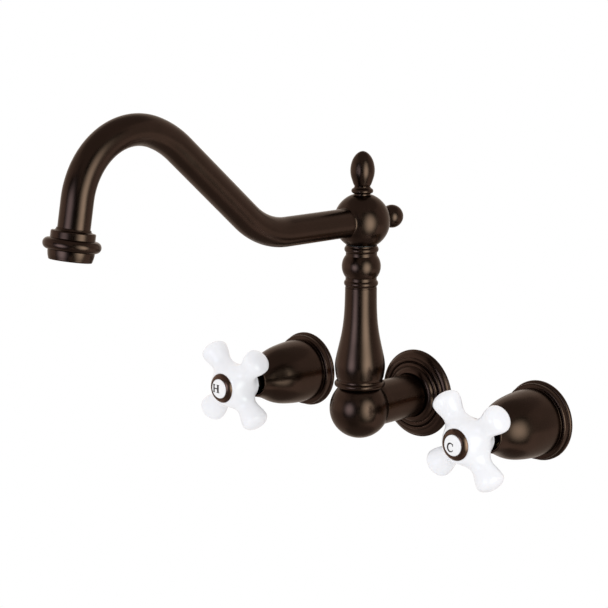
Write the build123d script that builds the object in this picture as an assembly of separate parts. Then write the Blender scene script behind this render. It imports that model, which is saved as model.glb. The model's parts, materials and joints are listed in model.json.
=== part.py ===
from build123d import *
import os
from math import cos, radians, sin, sqrt

# A wall-mounted bath filler: two valves and a swivelling gooseneck spout, in millimetres.
# The origin is on the spout's axis, in the plane of the finished wall.
# -Y points out of the wall towards the user, +X is the cold side and +Z is up.
# "Out" is the distance from the finished wall, so it is -Y, and negative values lie inside the wall.

# Layout
valve_spacing = 203.2  # hot valve axis to cold valve axis, eight inches
column_out = 58.5  # finished wall to the axis of the column
swivel_centre_up = 122.9  # spout axis at the wall to the centre of the swivel ball
transfer_depth = 26.0  # finished wall to the axes of the pipes that join the valves
bracket_depth = 60.0  # finished wall to the front face of the bracket

# Clearances
thread_gap = 0.05  # radial, between threads, which are drawn smooth
slip_gap = 0.1  # radial, between pieces pushed into each other
running_gap = 0.05  # radial, between a turning piece and its bearing
face_gap = 0.05  # between a turning face and the fixed face that it rubs on
open_gap = 0.4  # between a turning piece and a fixed piece that never touch
past = 1.0  # how far a cut runs past the face that it opens

# Bell escutcheons, one over each valve
bell_rim_r = 25.8
bell_rim_edge = 0.7  # straight edge of the outer rim, before it rounds over
bell_rim_front = 2.3
bell_step_r = 24.5
bell_step_edge = 4.9
bell_step_front = 6.2
bell_round = 1.1  # drop of radius where each rim rounds over
bell_root_r = 21.6
bell_belly = ((21.75, 13.0), (20.9, 24.0), (18.0, 36.5), (13.5, 46.0))  # radius, out
bell_nose_r = 11.3
bell_nose_out = 53.0
bell_lip = 0.9  # how far the nose rounds forward to its opening
bell_opening_r = 9.6
bell_wall = 1.8
bell_collar_back = 34.0  # threaded collar inside the bell, screwed onto the cartridge
bell_collar_front = 43.0

# Wall seals, set into the backs of the bells and of the spout flange
seal_section = 1.8
bell_seal_r = 23.4  # middle of the ring
flange_seal_r = 25.0

# Valve bodies in the wall
barrel_r = 13.2  # three-quarter inch barrel that comes out through the wall
barrel_out = 12.0
valve_body_r = 16.0
valve_shoulder_depth = 14.0
valve_floor = 4.0  # metal left between the body screw and the water
seat_depth = 36.0
gallery_r = 12.0
gallery_front_depth = 17.0
gallery_back_depth = 32.0
inlet_outer_r = 14.0
inlet_clearance = 1.0  # from the inlet branch to the bracket
inlet_drop = 40.0  # valve axis to the open end of the inlet
inlet_r = 9.3  # half-inch internal thread
inlet_thread = 16.0
inlet_way_r = 6.6
seat_way_r = 6.0  # water way from the inlet to the seat
outlet_stub_r = 11.0
outlet_stub_reach = 27.0  # valve axis to the open end of the outlet stub
outlet_stop = 17.0  # valve axis to the end of the transfer pipe

# Pipes and tee in the wall
pipe_r = 7.94  # copper water tube, five-eighths of an inch outside
pipe_wall = 1.0
tee_r = 13.0
tee_half_length = 24.0
tee_stop = 13.0
tee_boss_r = 15.0
tee_boss_depth = 9.0  # finished wall to the front of the boss
tee_post_r = 9.0

# Bracket behind the valves
bracket_overhang = 20.4  # beyond the axes of the valves
bracket_half_height = 18.0
bracket_thickness = 2.5
bracket_corner = 6.0
anchor_x = 60.0  # half the spacing of the four fixing holes along the bracket
anchor_z = 11.0
anchor_hole_r = 2.75
body_screw_r = 2.45
body_screw_bite = 8.0
body_screw_head_r = 4.6
body_screw_sink = 0.1  # the countersunk heads lie this far below the back of the bracket

# Cartridges
cartridge_r = 9.5
cartridge_thread_r = 10.5
cartridge_hex_across = 24.0
cartridge_hex = 6.0
cartridge_neck_r = 8.0
cartridge_neck_out = 45.0
pocket_r = 7.7
pocket_depth = 19.0  # finished wall to the ceiling of the disc pocket
window_width = 7.0
window_low = 0.5  # above the top of the fixed disc
window_high = 1.5  # below the ceiling of the disc pocket
cartridge_foot_gap = 0.6  # above the floor of the bore
thread_lead = 1.0  # from the shoulder of the bore to the first thread
seat_seal_height = 3.4
seat_seal_inner_r = 5.0
disc_r = 7.5
disc_height = 3.0
disc_way_r = 4.6
port_inner = 1.2  # corner of each sector port, from the disc's axis
port_edge = 0.8
port_round = 0.78  # middle of the outer edge, as a part of the way radius
stem_foot_r = 7.4
stem_foot_top_depth = 20.5
stem_r = 5.0
stem_shoulder_out = 47.0
broach_r = 3.9
broach_out = 70.0
spline_count = 20
spline_depth = 0.35
stem_ring_section = 1.16
stem_ring_depths = (3.0, -2.0)  # behind the wall, so the second one is in front of it
ring_groove_r = 3.8
ring_groove = 1.8
clip_r = 6.4
clip_height = 0.8

# Porcelain cross handles
arm_out = 72.1  # finished wall to the plane of the four arms
arm_reach = 33.9
arm_waist = ((7.9, 9.0), (7.0, 14.0), (7.2, 20.0), (8.75, 26.0))  # radius, reach
arm_bulb_reach = 29.0
arm_bulb_r = 9.0
hub_back_out = 59.5
hub_back_r = 10.6
hub_belly_r = 13.4
hub_front_out = 84.2
hub_front_r = 10.4
hub_blend = 3.0  # fillet between the arms and the hub
hub_belly_out = 70.5
hub_margin = 0.5  # edges this near to the hub's two end faces keep their shape
hot_cross_angle = 42.8  # first arm above +X, seen from the front
cold_cross_angle = 38.8

# Metal core of each handle
core_collar_r = 7.7
core_collar_back = 50.5
core_r = 6.4
core_front = 76.0
handle_screw_r = 2.45
handle_screw_bite = 9.0
handle_screw_head_r = 4.2
handle_screw_head = 3.0
screw_slot = 1.0  # width and depth of a slot in a screw's head
screw_tip_gap = 1.0  # left free at the bottom of a threaded hole
index_r = 9.95
index_rise = 3.0
index_front_r = 7.0
index_edge = 0.4  # straight edge at the foot of the bevel
index_bevel = (8.85, 1.85)  # middle of the slightly hollowed bevel: radius, rise
index_step = 0.3  # drop from the bevel's top to the button
index_skirt_r = 6.6
index_skirt_wall = 1.2
button_r = 6.6
button_seat = 1.2  # height of the button's seat above the hub's front
button_crown = 0.35
button_bevel = 0.3

# Spout: wall flange, arm and elbow
nipple_r = 10.5
nipple_wall = 2.6
nipple_tail_depth = 22.0
nipple_bite = 30.0  # how far the nipple reaches into the arm
flange_r = 29.5
flange_edge = 0.6
flange_dome = ((28.1, 2.2), (26.2, 3.4))  # radius, out
flange_ridge_r = (25.2, 21.8)  # crests of the two fine ridges
flange_ridge_out = (4.5, 6.3)
flange_ridge_half = 0.9
flange_ridge_crest = (0.25, 0.75)  # crest of a ridge, from its middle: radius, rise
flange_ridge_foot = (0.3, 0.2)  # fall outside and rise inside its middle
flange_hollow = (0.5, 0.4)  # bulge of the cove between the ridges and the collar
flange_collar_r = 18.4
flange_front = 8.6
flange_collar_round = 0.6  # bevels of the collar's front
flange_ring_section = 1.9
flange_ring_out = 4.3
arm_r = 14.2
arm_back = 1.5
arm_bore_r = 7.9
arm_spigot_r = 10.0
arm_spigot = 5.5
elbow_r = 19.4
elbow_way_r = 6.4

# Spout: column and neck, heights above the spout's axis, with the vase as radius and height
column_seat = arm_r + slip_gap  # just clears the top of the arm
column_stud_r = 7.6
column_stud = 8.0
column_way_r = 5.0
column_foot_r = 15.0
column_foot_bevel = 1.0
column_bead_up = 16.5
column_bead_r = 16.4
column_bead_half = 1.85
column_cove = (14.85, 19.75)  # deepest point of the cove between the bead and the vase: radius, up
column_cove_top = (15.35, 20.9)
vase = ((15.45, 21.5), (16.25, 28.1), (15.2, 35.8), (12.45, 48.4), (10.95, 59.2), (10.32, 73.0))
vase_top_r = 10.25
column_top = 79.9
neck_groove_r = 10.05
neck_bead_r = 11.0
neck_low_bead_up = 82.8
neck_bead_half = 1.9
bulb_r = 12.55
bulb_up = 93.7
bulb_half = 7.1
neck_high_bead_up = 104.8
neck_top = 107.4
washer_height = 0.5
washer_r = 8.8

# Swivel
post_r = 6.3
post_bore_r = 4.0
post_foot_up = 64.0
post_head_room = 5.9  # from the top of the post to the roof of the ball's chamber
post_ring_rises = (2.8, 6.0)  # above the top of the neck
post_ring_section = 1.3
post_ring_groove = 1.9
post_ring_groove_r = 4.95
ball_r = 18.0
ball_chamber_r = 8.6
ball_roof = 2.0  # metal left between the chamber and the finial's hole
tube_socket = 5.0  # how far the spout tube is sunk into the ball's skin

# Gooseneck, followed from the ball along its centre line: lengths, bend radii and angles in degrees
tube_r = 9.25
tube_wall = 1.3
tube_up = 123.0
tube_start_angle = 0.6  # degrees above level
tube_level_run = 69.4
tube_rise_bend_r = 55.5
tube_rise_angle = 39.3
tube_rise_run = 70.8
tube_crown_r = 63.8
tube_crown_angle = 20.2
tube_fall_r = 43.2
tube_fall_angle = 99.8
tube_drop_run = 21.6

# Outlet, along the end of the tube
flare = 1.6
flare_top_r = 9.75
flare_mid = (10.15, 1.1)  # radius, distance down the tube
collar_r = 12.6
collar_height = 4.2
collar_edge = 0.8
rim_bead_r = 16.4
rim_bead_height = 6.6
cup_r = 13.15
cup_mouth_r = 12.3
cup_edge = 0.8  # rounding of the lower edge
cup_swell = 12.85  # radius half way down, a little outside a straight cone
ferrule_thread = 2.6
ferrule_thread_r = 11.5
aerator_washer_height = 0.9
aerator_rim_r = 10.8
aerator_rim = 1.3
cup_lip = 0.8
cup_lip_r = 9.2
aerator_r = 9.0
aerator_height = 7.6
aerator_way_r = 7.6
grid_bar = 0.7
grid_pitch = 2.6
grid_height = 1.5
screen_height = 0.6
screen_hole_r = 0.6
screen_pitch = 2.0
screen_rings = 3

# Finial on top of the ball, heights above the ball's centre
finial_foot_r = 6.3
finial_foot_up = 16.9
finial_bead_r = 7.0
finial_bead_up = 19.3
finial_bead_half = 1.5
finial_neck_r = 5.0
finial_neck_up = 22.6
finial_cove_r = 5.25  # between the bead and the neck
finial_egg = ((6.1, 24.8), (7.5, 29.4), (7.79, 32.6), (7.3, 36.6), (5.1, 41.6))  # radius, up
finial_top_up = 44.8
finial_stud_r = 3.0
finial_stud = 6.0

# Knob on the back of the ball, distances from the swivel axis
knob_r = 7.5
knob_reach = 28.9  # to the middle of the knob, level with the ball's centre
knob_neck_r = 4.2
knob_foot_r = 5.6
knob_foot = 1.2
knob_shank_r = 3.0
knob_tip_r = 1.3
knob_tip_gap = 0.3


# Places and plain shapes

def rod(radius, start, end):
    """A solid cylinder from one point to another."""
    start, end = Vector(*start), Vector(*end)
    return Solid.make_cylinder(radius, (end - start).length, Plane(start, z_dir=end - start))


def drum(radius, low, high):
    """A solid cylinder about local Z."""
    return rod(radius, (0, 0, low), (0, 0, high))


def ring(outer_r, inner_r, low, high):
    """A flat ring about local Z."""
    return drum(outer_r, low, high) - drum(inner_r, low - past, high + past)


def o_ring(middle_r, section, height):
    """A rubber ring of round section about local Z."""
    return Pos(0, 0, height) * Torus(middle_r, section / 2)


def turned(*edges):
    """A solid turned about local Z, from edges drawn as (radius, height)."""
    return revolve(Plane.XZ * make_face(list(edges)), Axis.Z)


def hexagon(across, low, high):
    """A hexagonal prism about local Z."""
    shape = RegularPolygon(across / sqrt(3), 6)
    return extrude(Pos(0, 0, low) * shape, high - low)


def bead(root_low, crest, root_high):
    """The round outline of a bead, as an arc through its crest."""
    return ThreePointArc(root_low, crest, root_high)


def round_over(start, end):
    """A quarter-round outline that leaves start along the height and meets end along the radius."""
    share = cos(radians(45))
    middle = (end[0] + (start[0] - end[0]) * share, start[1] + (end[1] - start[1]) * share)
    return ThreePointArc(start, middle, end)


def dome(edge_r, low, rise):
    """The outline of a shallow spherical crown, from its edge to its top on the axis."""
    sphere_r = (edge_r**2 + rise**2) / (2 * rise)
    mid_r = edge_r / 2
    mid = sqrt(sphere_r**2 - mid_r**2) - (sphere_r - rise)
    return ThreePointArc((edge_r, low), (mid_r, low + mid), (0, low + rise))


def chain(*points):
    """Straight edges through the points, in order."""
    return Polyline(*points)


def on_wall(x):
    """A frame on the finished wall whose local Z points out of the wall and local Y points up."""
    return Plane((x, 0, 0), x_dir=(1, 0, 0), z_dir=(0, -1, 0)).location


sides = {"hot": -1, "cold": 1}
hot_x = sides["hot"] * valve_spacing / 2
cold_x = sides["cold"] * valve_spacing / 2
bracket_half_length = cold_x + bracket_overhang
inlet_depth = bracket_depth - inlet_outer_r - inlet_clearance
ball_journal_r = post_r + running_gap
post_bore = post_r + slip_gap  # radius of the hole for the post in the column and the neck
fixed_disc_low = -seat_depth + seat_seal_height
moving_disc_low = fixed_disc_low + disc_height + face_gap
stem_foot_low = moving_disc_low + disc_height
post_ring_ups = [neck_top + rise for rise in post_ring_rises]
ball_chamber_top = swivel_centre_up + finial_foot_up - finial_stud - ball_roof
post_top_up = ball_chamber_top - post_head_room
on_column = Pos(0, -column_out, 0)
on_ball = Pos(0, -column_out, swivel_centre_up)
parts = {}


# Pieces of the two valves

def make_valve_body(side):
    """Brass body in the wall: inlet from below, cartridge bore to the front, outlet to the middle."""
    back = -bracket_depth
    body = drum(valve_body_r, back, -valve_shoulder_depth)
    body += drum(barrel_r, -valve_shoulder_depth, barrel_out)
    body += rod(inlet_outer_r, (0, 0, -inlet_depth), (0, -inlet_drop, -inlet_depth))
    stub_end = (-side * outlet_stub_reach, 0, -transfer_depth)
    body += rod(outlet_stub_r, (0, 0, -transfer_depth), stub_end)
    body -= drum(seat_way_r, back + body_screw_bite + valve_floor, -seat_depth + past)
    mouth = (0, -inlet_drop - past, -inlet_depth)
    body -= rod(inlet_way_r, (0, 0, -inlet_depth), mouth)
    body -= rod(inlet_r, mouth, (0, inlet_thread - inlet_drop, -inlet_depth))
    body -= drum(cartridge_r + slip_gap, -seat_depth, -gallery_front_depth)
    body -= drum(gallery_r, -gallery_back_depth, -gallery_front_depth)
    body -= drum(cartridge_thread_r + thread_gap, -gallery_front_depth, barrel_out + past)
    way_end = (-side * (outlet_stub_reach + past), 0, -transfer_depth)
    body -= rod(pipe_r - pipe_wall, (0, 0, -transfer_depth), way_end)
    body -= rod(pipe_r + slip_gap, (-side * outlet_stop, 0, -transfer_depth), way_end)
    return body - drum(body_screw_r + thread_gap, back - past, back + body_screw_bite)


def make_cartridge():
    """Brass cartridge: disc pocket with two windows, thread, hexagon and a long threaded neck."""
    floor = -seat_depth + cartridge_foot_gap
    thread_start = -gallery_front_depth + thread_lead
    shell = drum(cartridge_r, floor, thread_start)
    shell += drum(cartridge_thread_r, thread_start, barrel_out)
    shell += hexagon(cartridge_hex_across, barrel_out, barrel_out + cartridge_hex)
    shell += drum(cartridge_neck_r, barrel_out + cartridge_hex, cartridge_neck_out)
    shell -= drum(pocket_r, floor - past, -pocket_depth)
    shell -= drum(stem_r + running_gap, -pocket_depth - past, cartridge_neck_out + past)
    low = fixed_disc_low + disc_height + window_low
    high = -pocket_depth - window_high
    window = Box(window_width, 3 * cartridge_r, high - low)
    return shell - Pos(0, 0, (low + high) / 2) * window


def make_seat_seal():
    """Rubber ring between the valve's seat and the fixed disc."""
    return ring(pocket_r - slip_gap, seat_seal_inner_r, -seat_depth, -seat_depth + seat_seal_height)


def make_disc(low, turn):
    """Ceramic disc with two sector ports."""
    disc = drum(disc_r, low, low + disc_height)
    bulge = disc_way_r * port_round
    sector = make_face(
        [
            Line((port_inner, port_edge), (disc_way_r, port_edge)),
            ThreePointArc((disc_way_r, port_edge), (bulge, bulge), (port_inner, disc_way_r)),
            Line((port_inner, disc_way_r), (port_inner, port_edge)),
        ]
    )
    for angle in (turn, turn + 180):
        port = Pos(0, 0, low - past) * Rot(0, 0, angle) * sector
        disc -= extrude(port, disc_height + 2 * past)
    return disc


def make_stem(foot):
    """Brass stem: forked foot on the moving disc, ring grooves, clip groove and a splined end."""
    stem = drum(stem_foot_r, foot, -stem_foot_top_depth)
    stem += drum(stem_r, -stem_foot_top_depth, stem_shoulder_out)
    stem += drum(broach_r, stem_shoulder_out, broach_out)
    for depth in stem_ring_depths:
        stem -= ring(stem_r + past, ring_groove_r, -depth - ring_groove / 2, -depth + ring_groove / 2)
    clip_low = cartridge_neck_out + face_gap
    stem -= ring(stem_r + past, ring_groove_r, clip_low, clip_low + clip_height + 2 * face_gap)
    notch = Pos(broach_r, 0, (stem_shoulder_out + broach_out) / 2) * Box(
        2 * spline_depth, spline_depth, broach_out - stem_shoulder_out
    )
    for k in range(spline_count):
        stem -= Rot(0, 0, 360 * k / spline_count) * notch
    stem -= drum(handle_screw_r + thread_gap, broach_out - handle_screw_bite, broach_out + past)
    return stem


def make_stem_rings():
    """The two rubber rings on the stem."""
    middle_r = ring_groove_r + face_gap + stem_ring_section / 2
    return [o_ring(middle_r, stem_ring_section, -depth) for depth in stem_ring_depths]


def make_stem_clip():
    """Open spring clip that keeps the stem in the cartridge."""
    low = cartridge_neck_out + 2 * face_gap
    clip = ring(clip_r, ring_groove_r + face_gap, low, low + clip_height)
    return clip - Pos(clip_r, 0, low) * Box(2 * clip_r, 2 * ring_groove_r, 4 * clip_height)


def bell_outline(shrink, root_out):
    """The bell's curve from its root to its nose, moved inward by the wall where asked."""
    points = [(bell_root_r - shrink, root_out)]
    points += [(r - shrink, out) for r, out in bell_belly]
    return points + [(bell_nose_r - shrink, bell_nose_out)]


def make_bell():
    """Bell escutcheon: a two-step rim, a full belly and a rounded nose, hollow behind."""
    outer = bell_outline(0, bell_step_front)
    lip_mid_r = (bell_nose_r + bell_opening_r) / 2
    rim_corner = (bell_rim_r - bell_round, bell_rim_front)
    step_corner = (bell_step_r - bell_round, bell_step_front)
    lip_mid = (lip_mid_r, bell_nose_out + bell_lip)
    body = turned(
        chain((0, 0), (bell_rim_r, 0), (bell_rim_r, bell_rim_edge)),
        round_over((bell_rim_r, bell_rim_edge), rim_corner),
        chain(rim_corner, (bell_step_r, bell_rim_front), (bell_step_r, bell_step_edge)),
        round_over((bell_step_r, bell_step_edge), step_corner),
        Line(step_corner, outer[0]),
        Spline(*outer),
        ThreePointArc(outer[-1], lip_mid, (bell_opening_r, bell_nose_out)),
        chain((bell_opening_r, bell_nose_out), (0, bell_nose_out), (0, 0)),
    )
    inner = bell_outline(bell_wall, 0)
    hollow = turned(
        chain((0, -past), (inner[0][0], -past), inner[0]),
        Spline(*inner),
        chain(inner[-1], (0, bell_nose_out), (0, -past)),
    )
    hollow += drum(bell_opening_r, bell_collar_front, bell_nose_out + 2 * past)
    hollow -= drum(bell_rim_r, bell_collar_back, bell_collar_front) & hollow
    hollow += drum(cartridge_neck_r + thread_gap, bell_collar_back - past, bell_collar_front + past)
    return body - hollow - seal_groove(bell_seal_r)


def seal_groove(middle_r):
    """Cut for a wall seal in the back of a bell or flange."""
    half = seal_section / 2 + slip_gap
    return ring(middle_r + half, middle_r - half, -past, seal_section)


def make_wall_seal(middle_r):
    """Rubber ring in the back of a bell or flange, level with its back face."""
    return ring(middle_r + seal_section / 2, middle_r - seal_section / 2, 0, seal_section)


# Pieces of the two handles

def make_core():
    """Metal core of a handle: splined socket, dark collar that shows and a passage for the screw."""
    core = drum(core_collar_r, core_collar_back, hub_back_out)
    core += drum(core_r, hub_back_out, core_front)
    core -= drum(broach_r + slip_gap, core_collar_back - past, broach_out)
    return core - drum(handle_screw_r + slip_gap, broach_out - past, core_front + past)


def hub_edge(edge):
    """True for an edge where an arm meets the hub or the next arm."""
    middle = edge @ 0.5
    far = sqrt(middle.X**2 + middle.Y**2)
    inside = hub_back_out + hub_margin < middle.Z < hub_front_out - hub_margin
    return inside and far < hub_belly_r + hub_blend


def make_cross(angle):
    """Porcelain cross: a turned hub and four arms that swell towards their rounded ends."""
    hub = ((hub_back_r, hub_back_out), (hub_belly_r, hub_belly_out), (hub_front_r, hub_front_out))
    cross = turned(
        chain((0, hub_back_out), hub[0]),
        Spline(*hub, tangents=((0.3, 1.0), (-0.9, 0.8))),
        chain(hub[-1], (0, hub_front_out), (0, hub_back_out)),
    )
    waist = [(reach, r) for r, reach in arm_waist] + [(arm_bulb_reach, arm_bulb_r)]
    share = cos(radians(45))
    tip_mid = (arm_bulb_reach + (arm_reach - arm_bulb_reach) * share, arm_bulb_r * share)
    arm_face = make_face(
        [
            chain((0, 0), (0, waist[0][1]), waist[0]),
            Spline(*waist, tangents=((1, -0.2), (1, 0))),
            Spline((arm_bulb_reach, arm_bulb_r), tip_mid, (arm_reach, 0), tangents=((1, 0), (0, -1))),
            Line((arm_reach, 0), (0, 0)),
        ]
    )
    arm = revolve(arm_face, Axis.X)
    for k in range(4):
        cross += Pos(0, 0, arm_out) * Rot(0, 0, angle + 90 * k) * arm
    hub_zone = [e for e in cross.edges() if hub_edge(e)]
    cross = fillet(hub_zone, hub_blend)
    cross -= drum(core_r + slip_gap, hub_back_out - past, core_front)
    cross -= drum(index_skirt_r + slip_gap, core_front, hub_front_out + past)
    return cross


def make_handle_screw():
    """Pan-head screw that holds the handle on its stem."""
    screw = drum(handle_screw_head_r, core_front, core_front + handle_screw_head)
    screw += drum(handle_screw_r, broach_out - handle_screw_bite + screw_tip_gap, core_front)
    slot = Box(3 * handle_screw_head_r, screw_slot, 2 * screw_slot)
    return screw - Pos(0, 0, core_front + handle_screw_head) * slot


def make_index_ring():
    """Bevelled ring in the front of the hub, with a skirt that stands on the core."""
    seat = hub_front_out
    edge = (index_r, seat + index_edge)
    front = (index_front_r, seat + index_rise)
    return turned(
        chain(
            (index_skirt_r - index_skirt_wall, core_front),
            (index_skirt_r, core_front),
            (index_skirt_r, seat),
            (index_r, seat),
            edge,
        ),
        ThreePointArc(edge, (index_bevel[0], seat + index_bevel[1]), front),
        chain(
            front,
            (button_r + slip_gap, front[1] - index_step),
            (button_r + slip_gap, seat + button_seat),
            (index_skirt_r - index_skirt_wall, seat + button_seat),
            (index_skirt_r - index_skirt_wall, core_front),
        ),
    )


def make_button():
    """White button with a slightly crowned face."""
    seat = hub_front_out + button_seat
    face = hub_front_out + index_rise
    edge_r = button_r - button_bevel
    return turned(
        chain((0, seat), (button_r, seat), (button_r, face - button_bevel), (edge_r, face)),
        dome(edge_r, face, button_crown),
        Line((0, face + button_crown), (0, seat)),
    )


cross_angles = {"hot": hot_cross_angle, "cold": cold_cross_angle}

for name, side in sides.items():
    place = on_wall(side * valve_spacing / 2)
    parts[name + "_valve_body"] = place * make_valve_body(side)
    parts[name + "_seat_seal"] = place * make_seat_seal()
    parts[name + "_fixed_disc"] = place * make_disc(fixed_disc_low, 0)
    parts[name + "_cartridge"] = place * make_cartridge()
    parts[name + "_moving_disc"] = place * make_disc(moving_disc_low, 90)
    parts[name + "_stem"] = place * make_stem(stem_foot_low)
    parts[name + "_stem_rings"] = [place * o for o in make_stem_rings()]
    parts[name + "_stem_clip"] = place * make_stem_clip()
    parts[name + "_bell"] = place * make_bell()
    parts[name + "_wall_seal"] = place * make_wall_seal(bell_seal_r)
    parts[name + "_handle_core"] = place * make_core()
    parts[name + "_porcelain_cross"] = place * make_cross(cross_angles[name])
    parts[name + "_handle_screw"] = place * make_handle_screw()
    parts[name + "_index_ring"] = place * make_index_ring()
    parts[name + "_index_button"] = place * make_button()


# Pieces in the wall between the valves

def make_tee():
    """Brass tee: a pipe socket on each side, a threaded boss to the front and a post to the bracket."""
    tee = rod(tee_r, (-tee_half_length, 0, -transfer_depth), (tee_half_length, 0, -transfer_depth))
    tee += drum(tee_boss_r, -transfer_depth, -tee_boss_depth)
    tee += drum(tee_post_r, -bracket_depth, -transfer_depth)
    end = tee_half_length + past
    tee -= rod(pipe_r - pipe_wall, (-end, 0, -transfer_depth), (end, 0, -transfer_depth))
    for side in sides.values():
        socket_start = (side * tee_stop, 0, -transfer_depth)
        tee -= rod(pipe_r + slip_gap, socket_start, (side * end, 0, -transfer_depth))
    tee -= drum(nipple_r - nipple_wall, -transfer_depth, 0)
    tee -= drum(nipple_r + thread_gap, -nipple_tail_depth, 0)
    return tee - drum(body_screw_r + thread_gap, -bracket_depth - past, -bracket_depth + body_screw_bite)


def make_pipe(side):
    """Copper pipe from a valve to the tee."""
    start = (side * tee_stop, 0, -transfer_depth)
    end = (side * (valve_spacing / 2 - outlet_stop), 0, -transfer_depth)
    return rod(pipe_r, start, end) - rod(pipe_r - pipe_wall, start, end)


def body_screw_cone(margin, sink):
    """The countersunk head of a body screw, or the cut for it with a margin round it."""
    back = -bracket_depth - bracket_thickness
    low = back + sink
    head_r, shank_r = body_screw_head_r + margin, body_screw_r + margin
    high = low + head_r - shank_r
    return turned(chain((0, low), (head_r, low), (shank_r, high), (0, high), (0, low)))


def make_bracket():
    """Flat steel bracket with four fixing holes and a hole for each body screw."""
    plate = extrude(
        Pos(0, 0, -bracket_depth - bracket_thickness)
        * RectangleRounded(2 * bracket_half_length, 2 * bracket_half_height, bracket_corner),
        bracket_thickness,
    )
    back = -bracket_depth - bracket_thickness - past
    front = -bracket_depth + past
    for x in (-anchor_x, anchor_x):
        for z in (-anchor_z, anchor_z):
            plate -= Pos(x, z, 0) * drum(anchor_hole_r, back, front)
    hole = drum(body_screw_r + slip_gap, back, front) + body_screw_cone(slip_gap, 0)
    return plate - [Pos(x, 0, 0) * hole for x in (hot_x, 0, cold_x)]


def make_body_screw():
    """Countersunk screw from the back of the bracket into a valve body or the tee."""
    low = -bracket_depth - bracket_thickness + body_screw_sink
    screw = body_screw_cone(0, body_screw_sink)
    screw += drum(body_screw_r, low + screw_slot, -bracket_depth + body_screw_bite - screw_tip_gap)
    slot = Box(3 * body_screw_head_r, screw_slot, 2 * screw_slot)
    return screw - Pos(0, 0, low) * slot


middle = on_wall(0)
parts["spout_tee"] = middle * make_tee()
for name, side in sides.items():
    parts[name + "_transfer_pipe"] = middle * make_pipe(side)
parts["mounting_bracket"] = middle * make_bracket()
parts["bracket_screws"] = [on_wall(x) * make_body_screw() for x in (hot_x, 0, cold_x)]


# Fixed pieces of the spout

def make_nipple():
    """Threaded nipple from the tee, through the wall, into the spout's arm."""
    return ring(nipple_r, nipple_r - nipple_wall, -nipple_tail_depth, nipple_bite)


def make_flange():
    """Domed wall flange with two fine ridges and a groove for its rubber ring."""
    ridges = []
    last = flange_dome[-1]
    for middle_r, out in zip(flange_ridge_r, flange_ridge_out):
        low = (middle_r + flange_ridge_half, out - flange_ridge_foot[0])
        high = (middle_r - flange_ridge_half, out + flange_ridge_foot[1])
        crest = (middle_r + flange_ridge_crest[0], out + flange_ridge_crest[1])
        ridges += [Line(last, low), bead(low, crest, high)]
        last = high
    collar_edge_out = flange_front - flange_collar_round
    collar_foot = (flange_collar_r, collar_edge_out)
    cove_mid = (
        (last[0] + flange_collar_r) / 2 - flange_hollow[0],
        (last[1] + flange_front) / 2 + flange_hollow[1],
    )
    bore = arm_r + slip_gap
    body = turned(
        chain((bore, 0), (flange_r, 0), (flange_r, flange_edge)),
        round_over((flange_r, flange_edge), flange_dome[0]),
        Line(flange_dome[0], flange_dome[1]),
        *ridges,
        ThreePointArc(last, cove_mid, collar_foot),
        chain(
            collar_foot,
            (bore + flange_collar_round, flange_front),
            (bore, collar_edge_out),
            (bore, 0),
        ),
    )
    groove_r = bore + flange_ring_section
    half = flange_ring_section / 2 + slip_gap
    body -= drum(groove_r, flange_ring_out - half, flange_ring_out + half)
    return body - seal_groove(flange_seal_r)


def make_arm():
    """Horizontal arm from the wall to the elbow ball, with a spigot that screws into the ball."""
    front = column_out - sqrt(elbow_r**2 - arm_r**2)
    body = drum(arm_r, arm_back, front) + drum(arm_spigot_r, front, front + arm_spigot)
    body -= drum(arm_bore_r, arm_back - past, front + arm_spigot + past)
    return body - drum(nipple_r + thread_gap, arm_back - past, nipple_bite)


def make_elbow():
    """Ball at the foot of the column, cut flat where the arm and the column meet it."""
    reach = sqrt(elbow_r**2 - arm_r**2)
    ball = Sphere(elbow_r)
    ball -= Pos(0, reach + elbow_r, 0) * Box(3 * elbow_r, 2 * elbow_r, 3 * elbow_r)
    ball -= Pos(0, 0, column_seat + elbow_r) * Box(3 * elbow_r, 3 * elbow_r, 2 * elbow_r)
    ball -= rod(arm_spigot_r + thread_gap, (0, reach - arm_spigot, 0), (0, elbow_r, 0))
    ball -= rod(elbow_way_r, (0, 0, 0), (0, elbow_r, 0))
    ball -= drum(elbow_way_r, 0, elbow_r)
    ball -= Sphere(elbow_way_r)
    return ball - drum(column_stud_r + thread_gap, column_seat - column_stud, elbow_r)


def make_column():
    """Vase-shaped column with a bead at its foot and a threaded stud that screws into the elbow."""
    bead_low = (column_foot_r, column_bead_up - column_bead_half)
    bead_high = (column_foot_r, column_bead_up + column_bead_half)
    shoulder = [(r, up) for r, up in vase] + [(vase_top_r, column_top)]
    body = turned(
        chain((0, column_seat), (column_foot_r - column_foot_bevel, column_seat), bead_low),
        bead(bead_low, (column_bead_r, column_bead_up), bead_high),
        ThreePointArc(bead_high, column_cove, column_cove_top),
        Line(column_cove_top, shoulder[0]),
        Spline(*shoulder),
        chain(shoulder[-1], (0, column_top), (0, column_seat)),
    )
    body += drum(column_stud_r, column_seat - column_stud + screw_tip_gap, column_seat)
    body -= drum(column_way_r, 0, column_top + past)
    return body - drum(post_bore, post_foot_up, column_top + past)


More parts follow.
